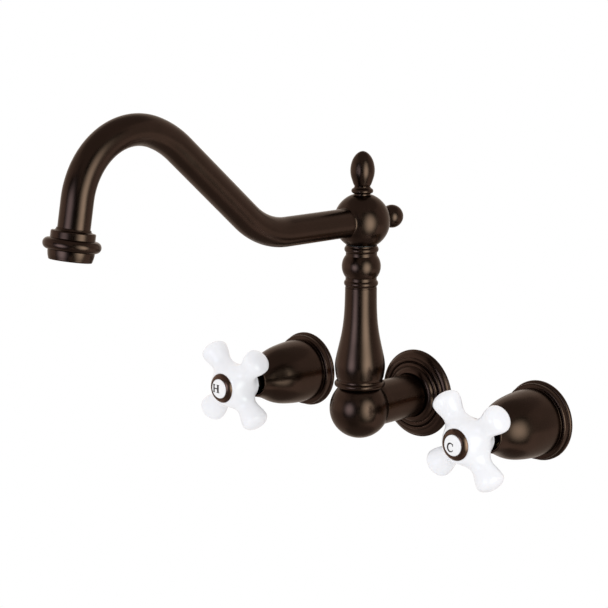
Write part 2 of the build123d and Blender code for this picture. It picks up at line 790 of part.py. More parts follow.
def make_neck():
    """Turned neck: a bead, a bulb and a second bead, between the column and the swivel ball."""
    groove = neck_groove_r
    low_bead = (neck_low_bead_up - neck_bead_half, neck_low_bead_up + neck_bead_half)
    bulb = (bulb_up - bulb_half, bulb_up + bulb_half)
    high_bead = (neck_high_bead_up - neck_bead_half, neck_high_bead_up + neck_bead_half)
    return turned(
        chain((post_bore, column_top), (groove, column_top), (groove, low_bead[0])),
        bead((groove, low_bead[0]), (neck_bead_r, neck_low_bead_up), (groove, low_bead[1])),
        Line((groove, low_bead[1]), (groove, bulb[0])),
        bead((groove, bulb[0]), (bulb_r, bulb_up), (groove, bulb[1])),
        Line((groove, bulb[1]), (groove, high_bead[0])),
        bead((groove, high_bead[0]), (neck_bead_r, neck_high_bead_up), (groove, high_bead[1])),
        chain(
            (groove, high_bead[1]),
            (groove, neck_top),
            (post_bore, neck_top),
            (post_bore, column_top),
        ),
    )


def make_post():
    """Hollow post that the spout turns on, with ring grooves and a groove for the knob's tip."""
    post = ring(post_r, post_bore_r, post_foot_up, post_top_up)
    for up in post_ring_ups:
        half = post_ring_groove / 2
        post -= ring(post_r + past, post_ring_groove_r, up - half, up + half)
    tip_half = knob_tip_r + knob_tip_gap
    low, high = swivel_centre_up - tip_half, swivel_centre_up + tip_half
    return post - ring(post_r + past, post_ring_groove_r, low, high)


parts["spout_nipple"] = middle * make_nipple()
parts["spout_flange"] = middle * make_flange()
flange_ring_r = arm_r + slip_gap / 2 + flange_ring_section / 2
parts["flange_ring"] = middle * o_ring(flange_ring_r, flange_ring_section, flange_ring_out)
parts["spout_wall_seal"] = middle * make_wall_seal(flange_seal_r)
parts["spout_arm"] = middle * make_arm()
parts["elbow_ball"] = on_column * make_elbow()
parts["column"] = on_column * make_column()
parts["neck"] = on_column * make_neck()
parts["swivel_post"] = on_column * make_post()
post_ring_r = post_ring_groove_r + running_gap / 2 + post_ring_section / 2
parts["swivel_rings"] = [on_column * o_ring(post_ring_r, post_ring_section, up) for up in post_ring_ups]
parts["swivel_washer"] = on_column * ring(washer_r, post_r + slip_gap, neck_top, neck_top + washer_height)


# Pieces that swivel

tube_in_ball = sqrt(ball_r**2 - tube_r**2) - tube_socket  # swivel axis to the tube's inner end


def gooseneck_path():
    """Centre line of the spout tube, in the plane of the column, as straight runs and tangent arcs."""
    rise = radians(tube_start_angle)
    first_way = Vector(0, -cos(rise), sin(rise))
    axis_point = Vector(0, -column_out, tube_up)
    path = [Line(axis_point + first_way * tube_in_ball, axis_point + first_way * tube_level_run)]
    bends = (
        (tube_rise_bend_r, tube_rise_angle, tube_rise_run),
        (tube_crown_r, -tube_crown_angle, 0),
        (tube_fall_r, -tube_fall_angle, tube_drop_run),
    )
    plane = Plane((0, 0, 0), x_dir=(0, -1, 0), z_dir=(-1, 0, 0))
    for radius, turn, run in bends:
        at = path[-1] @ 1
        way = path[-1] % 1
        local_at = plane.to_local_coords(at)
        local_way = plane.to_local_coords(plane.origin + way)
        arc = plane.from_local_coords(JernArc(local_at, local_way, radius, turn))
        path.append(arc)
        if run:
            path.append(Line(arc @ 1, (arc @ 1) + (arc % 1) * run))
    return path


tube_path = gooseneck_path()
tube_end = tube_path[-1] @ 1
tube_way = tube_path[-1] % 1
ferrule_top = tube_end - tube_way * (flare + collar_height)
at_outlet = Plane(ferrule_top, x_dir=(1, 0, 0), z_dir=tube_way).location


def swept(radius, path):
    """A round bar along the path."""
    start = path[0]
    profile = Plane(start @ 0, z_dir=start % 0) * Circle(radius)
    return sweep(profile, path=Wire(path))


def make_tube():
    """Spout tube, bent in one plane."""
    return swept(tube_r, tube_path) - swept(tube_r - tube_wall, tube_path)


cup_top = flare + collar_height + rim_bead_height
washer_top = cup_top + ferrule_thread
aerator_rim_top = washer_top + aerator_washer_height
aerator_bottom = aerator_rim_top + aerator_rim
cup_bottom = aerator_bottom + cup_lip
screen_top = aerator_bottom - aerator_height - screen_height


def make_ferrule():
    """Outlet ferrule on the end of the tube: flare, collar and a full round bead."""
    collar_high = flare + collar_height
    bead_root = rim_bead_r - rim_bead_height / 2
    collar_top = (collar_r - collar_edge, flare)
    collar_side = (collar_r, flare + collar_edge)
    body = turned(
        chain((0, 0), (flare_top_r, 0)),
        ThreePointArc((flare_top_r, 0), flare_mid, collar_top),
        round_over(collar_side, collar_top),
        chain(collar_side, (collar_r, collar_high), (bead_root, collar_high)),
        bead((bead_root, collar_high), (rim_bead_r, (collar_high + cup_top) / 2), (bead_root, cup_top)),
        chain((bead_root, cup_top), (ferrule_thread_r, cup_top), (ferrule_thread_r, washer_top)),
        chain((ferrule_thread_r, washer_top), (0, washer_top), (0, 0)),
    )
    body -= drum(tube_r + slip_gap, -past, collar_high)
    body -= drum(aerator_r + slip_gap, screen_top - open_gap, washer_top + past)
    return body - drum(tube_r - tube_wall, 0, washer_top + past)


def make_cup():
    """Aerator cup screwed onto the ferrule, with a rounded lower edge."""
    side_low = (cup_mouth_r, cup_bottom - cup_edge)
    edge_low = (cup_mouth_r - cup_edge, cup_bottom)
    body = turned(
        chain((0, cup_top), (cup_r, cup_top)),
        ThreePointArc((cup_r, cup_top), (cup_swell, (cup_top + cup_bottom) / 2), side_low),
        round_over(side_low, edge_low),
        chain(edge_low, (0, cup_bottom), (0, cup_top)),
    )
    body -= drum(ferrule_thread_r + thread_gap, cup_top - past, aerator_bottom)
    return body - drum(cup_lip_r, cup_top, cup_bottom + past)


def make_aerator_washer():
    """Rubber washer between the ferrule and the rim of the aerator."""
    return ring(aerator_rim_r, aerator_r + slip_gap, washer_top, aerator_rim_top)


def make_aerator():
    """Plastic aerator: a sleeve with a rim that rests in the cup and a grid of crossed bars."""
    top = aerator_bottom - aerator_height
    sleeve = ring(aerator_r, aerator_way_r, top, aerator_bottom)
    sleeve += ring(aerator_rim_r, aerator_way_r, aerator_rim_top, aerator_bottom)
    grid_middle = aerator_bottom - grid_height
    count = int(aerator_way_r / grid_pitch)
    for k in range(-count, count + 1):
        half_length = sqrt(aerator_r**2 - (k * grid_pitch) ** 2) - grid_bar
        bar = Box(grid_bar, 2 * half_length, grid_height)
        sleeve += Pos(k * grid_pitch, 0, grid_middle) * bar
        sleeve += Rot(0, 0, 90) * Pos(k * grid_pitch, 0, grid_middle) * bar
    return sleeve


def make_screen():
    """Steel screen that lies on top of the aerator, with rings of small holes."""
    screen = drum(aerator_r, screen_top, screen_top + screen_height)
    holes = [(0, 0)]
    for k in range(1, screen_rings + 1):
        for j in range(6 * k):
            angle = radians(60 * j / k)
            holes.append((screen_pitch * k * cos(angle), screen_pitch * k * sin(angle)))
    hole = drum(screen_hole_r, screen_top - past, screen_top + screen_height + past)
    return screen - [Pos(x, y, 0) * hole for x, y in holes]


def make_ball():
    """Swivel ball: bearing bore, water chamber, tube socket, and seats for the finial and the knob."""
    seat = neck_top + washer_height + face_gap - swivel_centre_up
    ball = Sphere(ball_r)
    ball -= Pos(0, 0, seat - ball_r) * Box(3 * ball_r, 3 * ball_r, 2 * ball_r)
    ball -= Pos(0, 0, finial_foot_up + ball_r) * Box(3 * ball_r, 3 * ball_r, 2 * ball_r)
    ball -= drum(ball_journal_r, seat - past, 0)
    chamber_low = 2 * knob_shank_r
    ball -= drum(ball_chamber_r, chamber_low, ball_chamber_top - swivel_centre_up)
    ball -= drum(ball_journal_r, -past, chamber_low + past)
    tube_axis = Vector(0, 0, tube_up - swivel_centre_up)
    tube_run = tube_path[0] % 0
    ball -= rod(tube_r + slip_gap, tube_axis + tube_run * tube_in_ball, tube_axis + tube_run * 2 * ball_r)
    ball -= rod(tube_r - tube_wall, tube_axis, tube_axis + tube_run * ball_r)
    ball -= rod(knob_shank_r + thread_gap, (0, 0, 0), (0, 2 * ball_r, 0))
    return ball - drum(finial_stud_r + thread_gap, finial_foot_up - finial_stud, ball_r)


def make_finial():
    """Turned finial: a bead, a thin neck and an egg, on a threaded stud."""
    low = (finial_foot_r, finial_bead_up - finial_bead_half)
    high = (finial_foot_r, finial_bead_up + finial_bead_half)
    neck = (finial_neck_r, finial_neck_up)
    egg = [neck] + list(finial_egg) + [(0, finial_top_up)]
    body = turned(
        chain((0, finial_foot_up), (finial_foot_r, finial_foot_up), low),
        bead(low, (finial_bead_r, finial_bead_up), high),
        ThreePointArc(high, (finial_cove_r, (high[1] + finial_neck_up) / 2), neck),
        Spline(*egg, tangents=((0.9, 1), (-1, 0))),
        Line((0, finial_top_up), (0, finial_foot_up)),
    )
    return body + drum(finial_stud_r, finial_foot_up - finial_stud + screw_tip_gap, finial_foot_up)


def make_knob():
    """Retaining knob: a ball on a neck, with a shank whose tip runs in the post's groove."""
    tip = post_ring_groove_r + knob_tip_gap
    tip_base = ball_journal_r + open_gap
    knob = Pos(0, 0, knob_reach) * Sphere(knob_r)
    knob += drum(knob_neck_r, ball_r, knob_reach)
    knob += drum(knob_foot_r, ball_r - knob_foot, ball_r + knob_foot)
    knob -= Sphere(ball_r + face_gap)
    knob += drum(knob_shank_r, tip_base, ball_r + knob_foot)
    return knob + drum(knob_tip_r, tip, tip_base)


on_knob = Plane((0, -column_out, swivel_centre_up), x_dir=(1, 0, 0), z_dir=(0, 1, 0)).location
parts["swivel_ball"] = on_ball * make_ball()
parts["spout_tube"] = make_tube()
parts["outlet_ferrule"] = at_outlet * make_ferrule()
parts["aerator_washer"] = at_outlet * make_aerator_washer()
parts["aerator"] = at_outlet * make_aerator()
parts["aerator_screen"] = at_outlet * make_screen()
parts["aerator_cup"] = at_outlet * make_cup()
parts["top_finial"] = on_ball * make_finial()
parts["rear_knob"] = on_knob * make_knob()

os.makedirs("parts", exist_ok=True)
for name, pieces in parts.items():
    solids = []
    for piece in pieces if isinstance(pieces, list) else [pieces]:
        solids += piece.solids()
    shape = solids[0] if len(solids) == 1 else Compound(solids)
    export_step(shape, "parts/" + name + ".step")
print("tube end", tuple(round(v, 2) for v in tube_end), "nodes", len(parts))
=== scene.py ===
import json
from math import atan2, ceil, cos, pi, radians, sin, sqrt, tan

import bmesh
import bpy
import numpy as np
from mathutils import Matrix, Vector


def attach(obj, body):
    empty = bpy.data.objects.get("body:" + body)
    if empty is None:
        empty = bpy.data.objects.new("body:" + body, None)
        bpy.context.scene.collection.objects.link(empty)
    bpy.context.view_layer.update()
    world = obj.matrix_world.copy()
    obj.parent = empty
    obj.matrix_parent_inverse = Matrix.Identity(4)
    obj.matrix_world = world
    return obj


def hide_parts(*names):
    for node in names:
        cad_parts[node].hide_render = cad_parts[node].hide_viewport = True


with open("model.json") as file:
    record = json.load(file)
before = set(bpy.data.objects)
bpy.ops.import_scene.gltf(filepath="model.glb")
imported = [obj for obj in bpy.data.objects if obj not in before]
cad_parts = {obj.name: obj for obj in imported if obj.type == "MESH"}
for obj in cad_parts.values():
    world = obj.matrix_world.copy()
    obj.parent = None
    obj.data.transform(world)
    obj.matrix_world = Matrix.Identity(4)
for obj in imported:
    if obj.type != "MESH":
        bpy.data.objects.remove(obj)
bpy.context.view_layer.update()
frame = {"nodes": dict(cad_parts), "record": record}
nodes = frame["nodes"]
MM = 0.001

# Places, in millimetres: the same numbers as the solids have.
VALVE_X = 101.6
COLUMN_OUT = 58.5
BALL_UP = 122.9
SIDES = {"hot": -1, "cold": 1}


def frame_matrix(origin, x_axis, y_axis, z_axis):
    """A local frame from its origin, in millimetres, and its three axes."""
    m = Matrix((x_axis, y_axis, z_axis)).transposed().to_4x4()
    m.translation = [value * MM for value in origin]
    return m


def on_wall(x):
    """Local Z points out of the wall and local Y points up."""
    return frame_matrix((x, 0, 0), (1, 0, 0), (0, 0, 1), (0, -1, 0))


ON_COLUMN = Matrix.Translation((0, -COLUMN_OUT * MM, 0))
ON_BALL = Matrix.Translation((0, -COLUMN_OUT * MM, BALL_UP * MM))
ON_KNOB = frame_matrix((0, -COLUMN_OUT, BALL_UP), (1, 0, 0), (0, 0, -1), (0, 1, 0))


# Outlines, as lists of (radius, height)

def arc(start, middle, end, steps=10):
    """Points of the arc through three points, without its first one."""
    (x1, y1), (x2, y2), (x3, y3) = start, middle, end
    d = 2 * (x1 * (y2 - y3) + x2 * (y3 - y1) + x3 * (y1 - y2))
    s1, s2, s3 = x1 * x1 + y1 * y1, x2 * x2 + y2 * y2, x3 * x3 + y3 * y3
    cx = (s1 * (y2 - y3) + s2 * (y3 - y1) + s3 * (y1 - y2)) / d
    cy = (s1 * (x3 - x2) + s2 * (x1 - x3) + s3 * (x2 - x1)) / d
    radius = sqrt((x1 - cx) ** 2 + (y1 - cy) ** 2)
    a1, a2, a3 = (atan2(y - cy, x - cx) for x, y in (start, middle, end))
    turn = (a3 - a1) % (2 * pi)
    if (a2 - a1) % (2 * pi) > turn:
        turn -= 2 * pi
    angles = [a1 + turn * k / steps for k in range(1, steps + 1)]
    return [(cx + radius * cos(a), cy + radius * sin(a)) for a in angles]


def round_over(start, end, steps=6):
    """A quarter round that leaves start along the height and meets end along the radius."""
    share = cos(radians(45))
    middle = (end[0] + (start[0] - end[0]) * share, start[1] + (end[1] - start[1]) * share)
    return arc(start, middle, end, steps)


def spline(points, steps=8, start=None, end=None):
    """Points of the smooth curve through the given ones, without its first one."""
    p = np.array(points, float)
    h = np.linalg.norm(np.diff(p, axis=0), axis=1)
    n = len(p)
    a = np.zeros((n, n))
    b = np.zeros((n, 2))
    for i in range(1, n - 1):
        a[i, i - 1], a[i, i], a[i, i + 1] = h[i - 1], 2 * (h[i - 1] + h[i]), h[i]
        b[i] = 6 * ((p[i + 1] - p[i]) / h[i] - (p[i] - p[i - 1]) / h[i - 1])
    a[0, 0] = a[-1, -1] = 1
    if start is not None:
        t = np.array(start, float) / np.linalg.norm(start)
        a[0, 0], a[0, 1] = 2 * h[0], h[0]
        b[0] = 6 * ((p[1] - p[0]) / h[0] - t)
    if end is not None:
        t = np.array(end, float) / np.linalg.norm(end)
        a[-1, -1], a[-1, -2] = 2 * h[-1], h[-1]
        b[-1] = 6 * (t - (p[-1] - p[-2]) / h[-1])
    m = np.linalg.solve(a, b)
    out = []
    for i in range(n - 1):
        for k in range(1, steps + 1):
            s = h[i] * k / steps
            r = h[i] - s
            out.append(
                m[i] * r**3 / (6 * h[i]) + m[i + 1] * s**3 / (6 * h[i])
                + (p[i] / h[i] - m[i] * h[i] / 6) * r
                + (p[i + 1] / h[i] - m[i + 1] * h[i] / 6) * s
            )
    return [tuple(q) for q in out]


def soften(points, radius, steps=4):
    """Rounds each sharp corner of a closed outline, as a cast or plated edge is."""
    pts = [Vector((q[0], q[1])) for q in points]
    n = len(pts)
    out = []
    for i, b in enumerate(pts):
        a, c = pts[i - 1], pts[(i + 1) % n]
        u, v = a - b, c - b
        if min(u.length, v.length) < 1e-6:
            continue
        turn = pi - u.angle(v)
        if turn < radians(24):
            out.append(tuple(b))
            continue
        reach = min(radius * tan(turn / 2), 0.45 * u.length, 0.45 * v.length)
        p, q = b + u.normalized() * reach, b + v.normalized() * reach
        for k in range(steps + 1):
            t = k / steps
            out.append(tuple(p * (1 - t) ** 2 + b * 2 * t * (1 - t) + q * t * t))
    return out


def refine(points, longest, closed=True):
    """Splits long edges of an outline, so that the mesh has no needle faces."""
    out = []
    n = len(points)
    for i in range(n if closed else n - 1):
        a, b = np.array(points[i]), np.array(points[(i + 1) % n])
        parts = max(1, ceil(np.linalg.norm(b - a) / longest))
        out += [tuple(a + (b - a) * k / parts) for k in range(parts)]
    return out if closed else out + [tuple(points[-1])]


# Meshes, as vertices in millimetres and faces

def ring_points(radius, z, segments):
    """The points of one ring about local Z."""
    angles = [2 * pi * k / segments for k in range(segments)]
    return [(radius * cos(a), radius * sin(a), z) for a in angles]


def strip_faces(rings, segments, start=0, apart=None):
    """The four-sided faces between rings of points that lie that many points apart."""
    faces = []
    for i in range(rings - 1):
        a = start + i * segments
        b = a + (apart or segments)
        for k in range(segments):
            j = (k + 1) % segments
            faces.append((a + k, a + j, b + j, b + k))
    return faces


def lathe(outline, segments=128, closed=True, longest=4.0):
    """A mesh turned about local Z. Points on the axis become poles."""
    pts = refine(outline, longest, closed)
    rings, verts = [], []
    for r, z in pts:
        if r < 1e-4:
            rings.append([len(verts)])
            verts.append((0, 0, z))
        else:
            rings.append(list(range(len(verts), len(verts) + segments)))
            verts += ring_points(r, z, segments)
    faces = []
    pairs = list(zip(rings, rings[1:]))
    if closed:
        pairs.append((rings[-1], rings[0]))
    for low, high in pairs:
        for k in range(segments):
            j = (k + 1) % segments
            if len(low) == 1:
                faces.append((low[0], high[j], high[k]))
            elif len(high) == 1:
                faces.append((low[k], low[j], high[0]))
            else:
                faces.append((low[k], low[j], high[j], high[k]))
    return verts, faces


def surface(field, low, high, step):
    """A smooth mesh of the surface where a field of distances is nought, from a grid of cells."""
    low, high = np.array(low, float), np.array(high, float)
    count = np.ceil((high - low) / step).astype(int) + 1
    axes = [low[i] + step * np.arange(count[i]) for i in range(3)]
    grid = np.stack(np.meshgrid(*axes, indexing="ij"), axis=-1)
    d = field(grid.reshape(-1, 3)).reshape(count)
    cells = count - 1
    total = np.zeros(tuple(cells) + (3,))
    hits = np.zeros(tuple(cells))
    crossings = []
    for axis in range(3):
        others = [i for i in range(3) if i != axis]
        a, b = np.delete(d, -1, axis), np.delete(d, 0, axis)
        where = np.argwhere((a < 0) != (b < 0))
        av, bv = a[tuple(where.T)], b[tuple(where.T)]
        point = low + where * step
        point[:, axis] += step * av / (av - bv)
        inner = np.all([(where[:, i] > 0) & (where[:, i] < cells[i]) for i in others], axis=0)
        for move in ((0, 0), (0, -1), (-1, 0), (-1, -1)):
            cell = where.copy()
            cell[:, others] += move
            ok = np.all((cell >= 0) & (cell < cells), axis=1)
            np.add.at(total, tuple(cell[ok].T), point[ok])
            np.add.at(hits, tuple(cell[ok].T), 1)
        crossings.append((axis, others, where[inner], av[inner] < 0))
    used = hits > 0
    index = -np.ones(tuple(cells), int)
    index[used] = np.arange(used.sum())
    verts = total[used] / hits[used][:, None]
    faces = []
    for axis, others, where, starts_inside in crossings:
        quads = []
        for move in ((0, 0), (-1, 0), (-1, -1), (0, -1)):
            cell = where.copy()
            cell[:, others] += move
            quads.append(index[tuple(cell.T)])
        quads = np.stack(quads, axis=1)
        flip = starts_inside if axis != 1 else ~starts_inside
        quads[flip] = quads[flip][:, ::-1]
        faces += [tuple(q) for q in quads]
    for _ in range(3):
        value = field(verts)
        steps = 0.02 * np.eye(3)
        slope = np.stack([(field(verts + e) - field(verts - e)) / 0.04 for e in steps], axis=1)
        size = np.maximum((slope**2).sum(axis=1), 1e-6)
        move = slope * (value / size)[:, None]
        length = np.maximum(np.linalg.norm(move, axis=1), 1e-9)
        verts = verts - move * np.minimum(1, step / 2 / length)[:, None]
    return verts, faces


def bar_field(p, start, end, radius, edge=0.3):
    """Distance to a round bar with rounded edges."""
    start, end = np.array(start, float), np.array(end, float)
    length = np.linalg.norm(end - start)
    way = (end - start) / length
    along = (p - start) @ way
    across = np.linalg.norm(p - start - along[:, None] * way, axis=1)
    dx = across - radius + edge
    dz = np.abs(along - length / 2) - length / 2 + edge
    outside = np.sqrt(np.maximum(dx, 0) ** 2 + np.maximum(dz, 0) ** 2)
    return outside + np.minimum(np.maximum(dx, dz), 0) - edge


def join_fields(a, b, blend):
    """Both shapes, with a fillet of about that size where they meet."""
    h = np.maximum(blend - np.abs(a - b), 0) / blend
    return np.minimum(a, b) - h * h * blend / 4


def cut_field(a, b, blend):
    """The first shape without the second, with that rounding at the edge of the cut."""
    return -join_fields(-a, b, blend)


def cut_bars(shape, p, *bars):
    """The shape without round bars, each given as its ends, radius, edge and blend."""
    for start, end, radius, edge, blend in bars:
        shape = cut_field(shape, bar_field(p, start, end, radius, edge), blend)
    return shape


def placed(name, data, place=None):
    """A new object in the scene."""
    piece = bpy.data.objects.new(name, data)
    bpy.context.scene.collection.objects.link(piece)
    piece.matrix_world = place or Matrix()
    return piece


SHARP = 32  # degrees at which an edge stays sharp
MOULDED = 50  # the same on pieces that come from a field


def solid_object(name, mesh, place, material, body, node=None, slot=None, sharp=SHARP):
    """A finished piece: smooth shading with sharp edges kept, on its body and in its node's place."""
    verts, faces = mesh
    data = bpy.data.meshes.new(name)
    data.from_pydata((np.asarray(verts) * MM).tolist(), [], faces)
    data.validate()
    bm = bmesh.new()
    bm.from_mesh(data)
    bmesh.ops.remove_doubles(bm, verts=bm.verts, dist=1e-7)
    bmesh.ops.recalc_face_normals(bm, faces=bm.faces)
    bm.to_mesh(data)
    bm.free()
    for polygon in data.polygons:
        polygon.use_smooth = True
    data.set_sharp_from_angle(angle=radians(sharp))
    data.materials.append(material)
    piece = placed(name, data, place)
    if node:
        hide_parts(node)
    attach(piece, body)


# Materials

class Nodes:
    """Short names for the shader nodes of one material."""

    def __init__(self, name):
        self.material = bpy.data.materials.new(name)
        self.material.use_nodes = True
        self.tree = self.material.node_tree
        self.tree.nodes.clear()
        self.shader = self.add("BsdfPrincipled")
        self.tree.links.new(self.shader.outputs[0], self.add("OutputMaterial").inputs[0])
        self.where = self.add("TexCoord").outputs["Object"]

    def add(self, kind, vector=None, **values):
        """A new node with these input values, read at that place."""
        node = self.tree.nodes.new("ShaderNode" + kind)
        for key, value in values.items():
            node.inputs[key].default_value = value
        if vector:
            self.tree.links.new(vector, node.inputs["Vector"])
        return node

    def link(self, output, socket):
        self.tree.links.new(output, self.shader.inputs[socket])

    def set(self, **values):
        for key, value in values.items():
            self.shader.inputs[key.replace("_", " ")].default_value = value

    def noise(self, scale, detail=3.0, rough=0.5, stretch=None, warp=0.0):
        at = self.add("Mapping", self.where, Scale=stretch).outputs[0] if stretch else self.where
        values = {"Scale": scale, "Detail": detail, "Roughness": rough, "Distortion": warp}
        return self.add("TexNoise", at, **values).outputs["Fac"]

    def ramp(self, value, *stops):
        node = self.add("ValToRGB")
        for element, (at, colour) in zip(node.color_ramp.elements, stops):
            element.position = at
            c = (colour,) * 3 if isinstance(colour, (int, float)) else colour
            element.color = (*c, 1)
        self.tree.links.new(value, node.inputs[0])
        return node.outputs[0]

    def vary(self, socket, noise, low, high):
        """Lets a value of the shader drift between two."""
        self.link(self.ramp(noise, (0.3, low), (0.7, high)), socket)

    def mix(self, share, first, second):
        node = self.add("Mix")
        node.data_type = "RGBA"
        for socket, value in ((0, share), (6, first), (7, second)):
            if isinstance(value, bpy.types.NodeSocket):
                self.tree.links.new(value, node.inputs[socket])
            else:
                node.inputs[socket].default_value = (*value, 1) if socket else value
        return node.outputs[2]

    def edges(self):
        """Bright on raised edges and dark in corners."""
        return self.add("NewGeometry").outputs["Pointiness"]

    def bump(self, height, strength, distance):
        node = self.add("Bump", Strength=strength, Distance=distance)
        self.tree.links.new(height, node.inputs["Height"])
        normal = self.shader.inputs["Normal"]
        if normal.is_linked:
            self.tree.links.new(normal.links[0].from_socket, node.inputs["Normal"])
        self.link(node.outputs[0], "Normal")


METAL = {"Metallic": 1.0, "IOR": 1.45}


def plain(name, look, tone, low, high, dull, gloss, matt, relief=None):
    """A material with one drift of tone, one of gloss and a fine relief."""
    n = Nodes(name)
    n.set(**look)
    n.vary("Base Color", n.noise(*tone), low, high)
    n.vary("Roughness", n.noise(*dull), gloss, matt)
    if relief:
        grain, strength, depth = relief
        n.bump(n.noise(*grain), strength, depth)
    return n.material


def plastic(name, low, high, gloss):
    relief = ((1800, 2), 0.06, 0.0002)
    return plain(name, {"IOR": 1.5}, (200, 4), low, high, (700, 3), gloss, gloss + 0.14, relief)


def bronze(name, deep, warm):
    """Oil-rubbed bronze: dark brown with slow drifts of tone, a fine grain and a satin sheen."""
    n = Nodes(name)
    n.set(**METAL, Specular_Tint=(0.80, 0.77, 0.73, 1))
    tone = n.ramp(n.noise(70, 5, 0.55, warp=0.4), (0.3, deep), (0.72, warm))
    worn = n.ramp(n.edges(), (0.50, 0.0), (0.60, 0.35))
    n.link(n.mix(worn, tone, tuple(1.5 * c for c in warm)), "Base Color")
    n.vary("Roughness", n.noise(160, 3, 0.5), 0.235, 0.265)
    n.bump(n.noise(2400, 2, 0.5), 0.03, 0.0002)
    return n.material


def porcelain(name):
    """White glaze over a white body: a slow waviness, a faint mottle and a wet gloss."""
    n = Nodes(name)
    n.set(IOR=1.35, Roughness=0.30, Coat_Weight=0.5, Coat_Roughness=0.10, Coat_IOR=1.4)
    n.set(Subsurface_Weight=0.12, Subsurface_Scale=0.002, Subsurface_Radius=(1.0, 0.9, 0.8))
    n.vary("Base Color", n.noise(60, 4, 0.6), (0.89, 0.895, 0.91), (0.91, 0.91, 0.92))
    n.bump(n.noise(90, 2, 0.4), 0.08, 0.0008)
    n.bump(n.noise(900, 2, 0.5), 0.01, 0.0003)
    return n.material


def cast_brass(name):
    """Sand-cast brass: grainy skin, brown in the low spots and brighter on the edges."""
    n = Nodes(name)
    n.set(**METAL)
    grain = n.noise(900, 6, 0.65)
    tone = n.ramp(n.noise(45, 5, 0.6, warp=0.6), (0.3, (0.36, 0.24, 0.10)), (0.7, (0.56, 0.40, 0.19)))
    low = n.ramp(grain, (0.25, (0.24, 0.15, 0.07)), (0.55, (0.62, 0.46, 0.23)))
    worn = n.ramp(n.edges(), (0.50, 0.0), (0.58, 0.7))
    n.link(n.mix(worn, n.mix(0.45, tone, low), (0.78, 0.60, 0.32)), "Base Color")
    n.vary("Roughness", grain, 0.50, 0.34)
    n.bump(grain, 0.35, 0.0005)
    n.bump(n.noise(160, 3), 0.12, 0.0006)
    return n.material


def turned_brass(name):
    """Machined brass: fine tool marks across local Z and a few stains."""
    n = Nodes(name)
    n.set(**METAL)
    marks = n.noise(1.0, 2, 0.5, stretch=(60, 60, 5200))
    n.vary("Base Color", n.noise(120, 4, 0.6), (0.58, 0.42, 0.18), (0.76, 0.58, 0.29))
    n.vary("Roughness", marks, 0.16, 0.30)
    n.bump(marks, 0.15, 0.0002)
    return n.material


def copper(name):
    """Drawn copper tube: long draw marks along X and brown fingermarks."""
    n = Nodes(name)
    n.set(**METAL)
    draw = n.noise(1.0, 3, 0.5, stretch=(40, 2600, 2600))
    tone = n.ramp(n.noise(55, 5, 0.65, warp=0.8), (0.28, (0.36, 0.15, 0.08)), (0.66, (0.80, 0.40, 0.26)))
    n.link(tone, "Base Color")
    n.vary("Roughness", draw, 0.20, 0.36)
    n.bump(draw, 0.12, 0.0002)
    return n.material


def zinc_sheet(name):
    """Zinc-plated sheet: pale spangle with faint rolling marks."""
    n = Nodes(name)
    n.set(**METAL)
    spangle = n.add("TexVoronoi", n.where, Scale=160).outputs["Color"]
    grey = n.ramp(spangle, (0.2, (0.50, 0.51, 0.53)), (0.8, (0.66, 0.67, 0.68)))
    stain = n.ramp(n.noise(30, 5, 0.6), (0.35, (0.52, 0.51, 0.48)), (0.6, (0.64, 0.65, 0.66)))
    n.link(n.mix(0.5, grey, stain), "Base Color")
    n.vary("Roughness", n.noise(300, 4), 0.30, 0.46)
    n.bump(n.noise(1.0, 3, 0.5, stretch=(60, 900, 900)), 0.10, 0.0003)
    return n.material


BRONZE = bronze("oil_rubbed_bronze", (0.052, 0.0325, 0.0240), (0.060, 0.0365, 0.0275))
# The index ring is the same oil-rubbed bronze with about twice its base colour: painted light, a lighter
# copy that stands in for the brighter reflection on the ring's bevel.
RING_BRONZE_PAINTED_LIGHT = bronze("index_ring_bronze_painted_light", (0.105, 0.062, 0.044), (0.120, 0.070, 0.050))
PORCELAIN = porcelain("porcelain_glaze")
CAST = cast_brass("brass_cast_skin")
TURNED = turned_brass("brass_machined")
COPPER = copper("copper_drawn")
ZINC = zinc_sheet("steel_zinc_plated")
BUTTON = plain(
    "index_white", {"IOR": 1.5, "Coat_Weight": 0.7, "Coat_Roughness": 0.04},
    (220, 3), (0.90, 0.90, 0.90), (0.92, 0.92, 0.92), (700, 3), 0.16, 0.26, ((400, 2), 0.02, 0.0003),
)
INK = plain(
    "index_print", {"IOR": 1.45},
    (900, 4, 0.6), (0.018, 0.012, 0.010), (0.035, 0.024, 0.02), (1500, 2), 0.35, 0.55,
)
SOLDER = plain(
    "solder_tin", METAL,
    (500, 4), (0.42, 0.42, 0.43), (0.62, 0.62, 0.63), (800, 3), 0.30, 0.5, ((700, 4), 0.4, 0.0006),
)
STEEL = plain(
    "steel_stainless", METAL,
    (260, 4), (0.56, 0.57, 0.58), (0.70, 0.71, 0.72), (1400, 3), 0.20, 0.34, ((1400, 3), 0.06, 0.0002),
)
RUBBER = plain(
    "rubber_moulded", {"IOR": 1.5},
    (300, 5), (0.018, 0.018, 0.019), (0.045, 0.044, 0.043), (600, 3), 0.55, 0.75,
    ((2200, 3), 0.15, 0.0002),
)
CERAMIC = plain(
    "ceramic_lapped", {"IOR": 1.6},
    (300, 4), (0.78, 0.77, 0.72), (0.86, 0.85, 0.81), (900, 3), 0.18, 0.32, ((1500, 2), 0.04, 0.0002),
)
NYLON = plastic("nylon_black", (0.035, 0.032, 0.030), (0.055, 0.050, 0.045), 0.42)
SLEEVE = plastic("aerator_grey", (0.72, 0.72, 0.72), (0.80, 0.80, 0.80), 0.38)

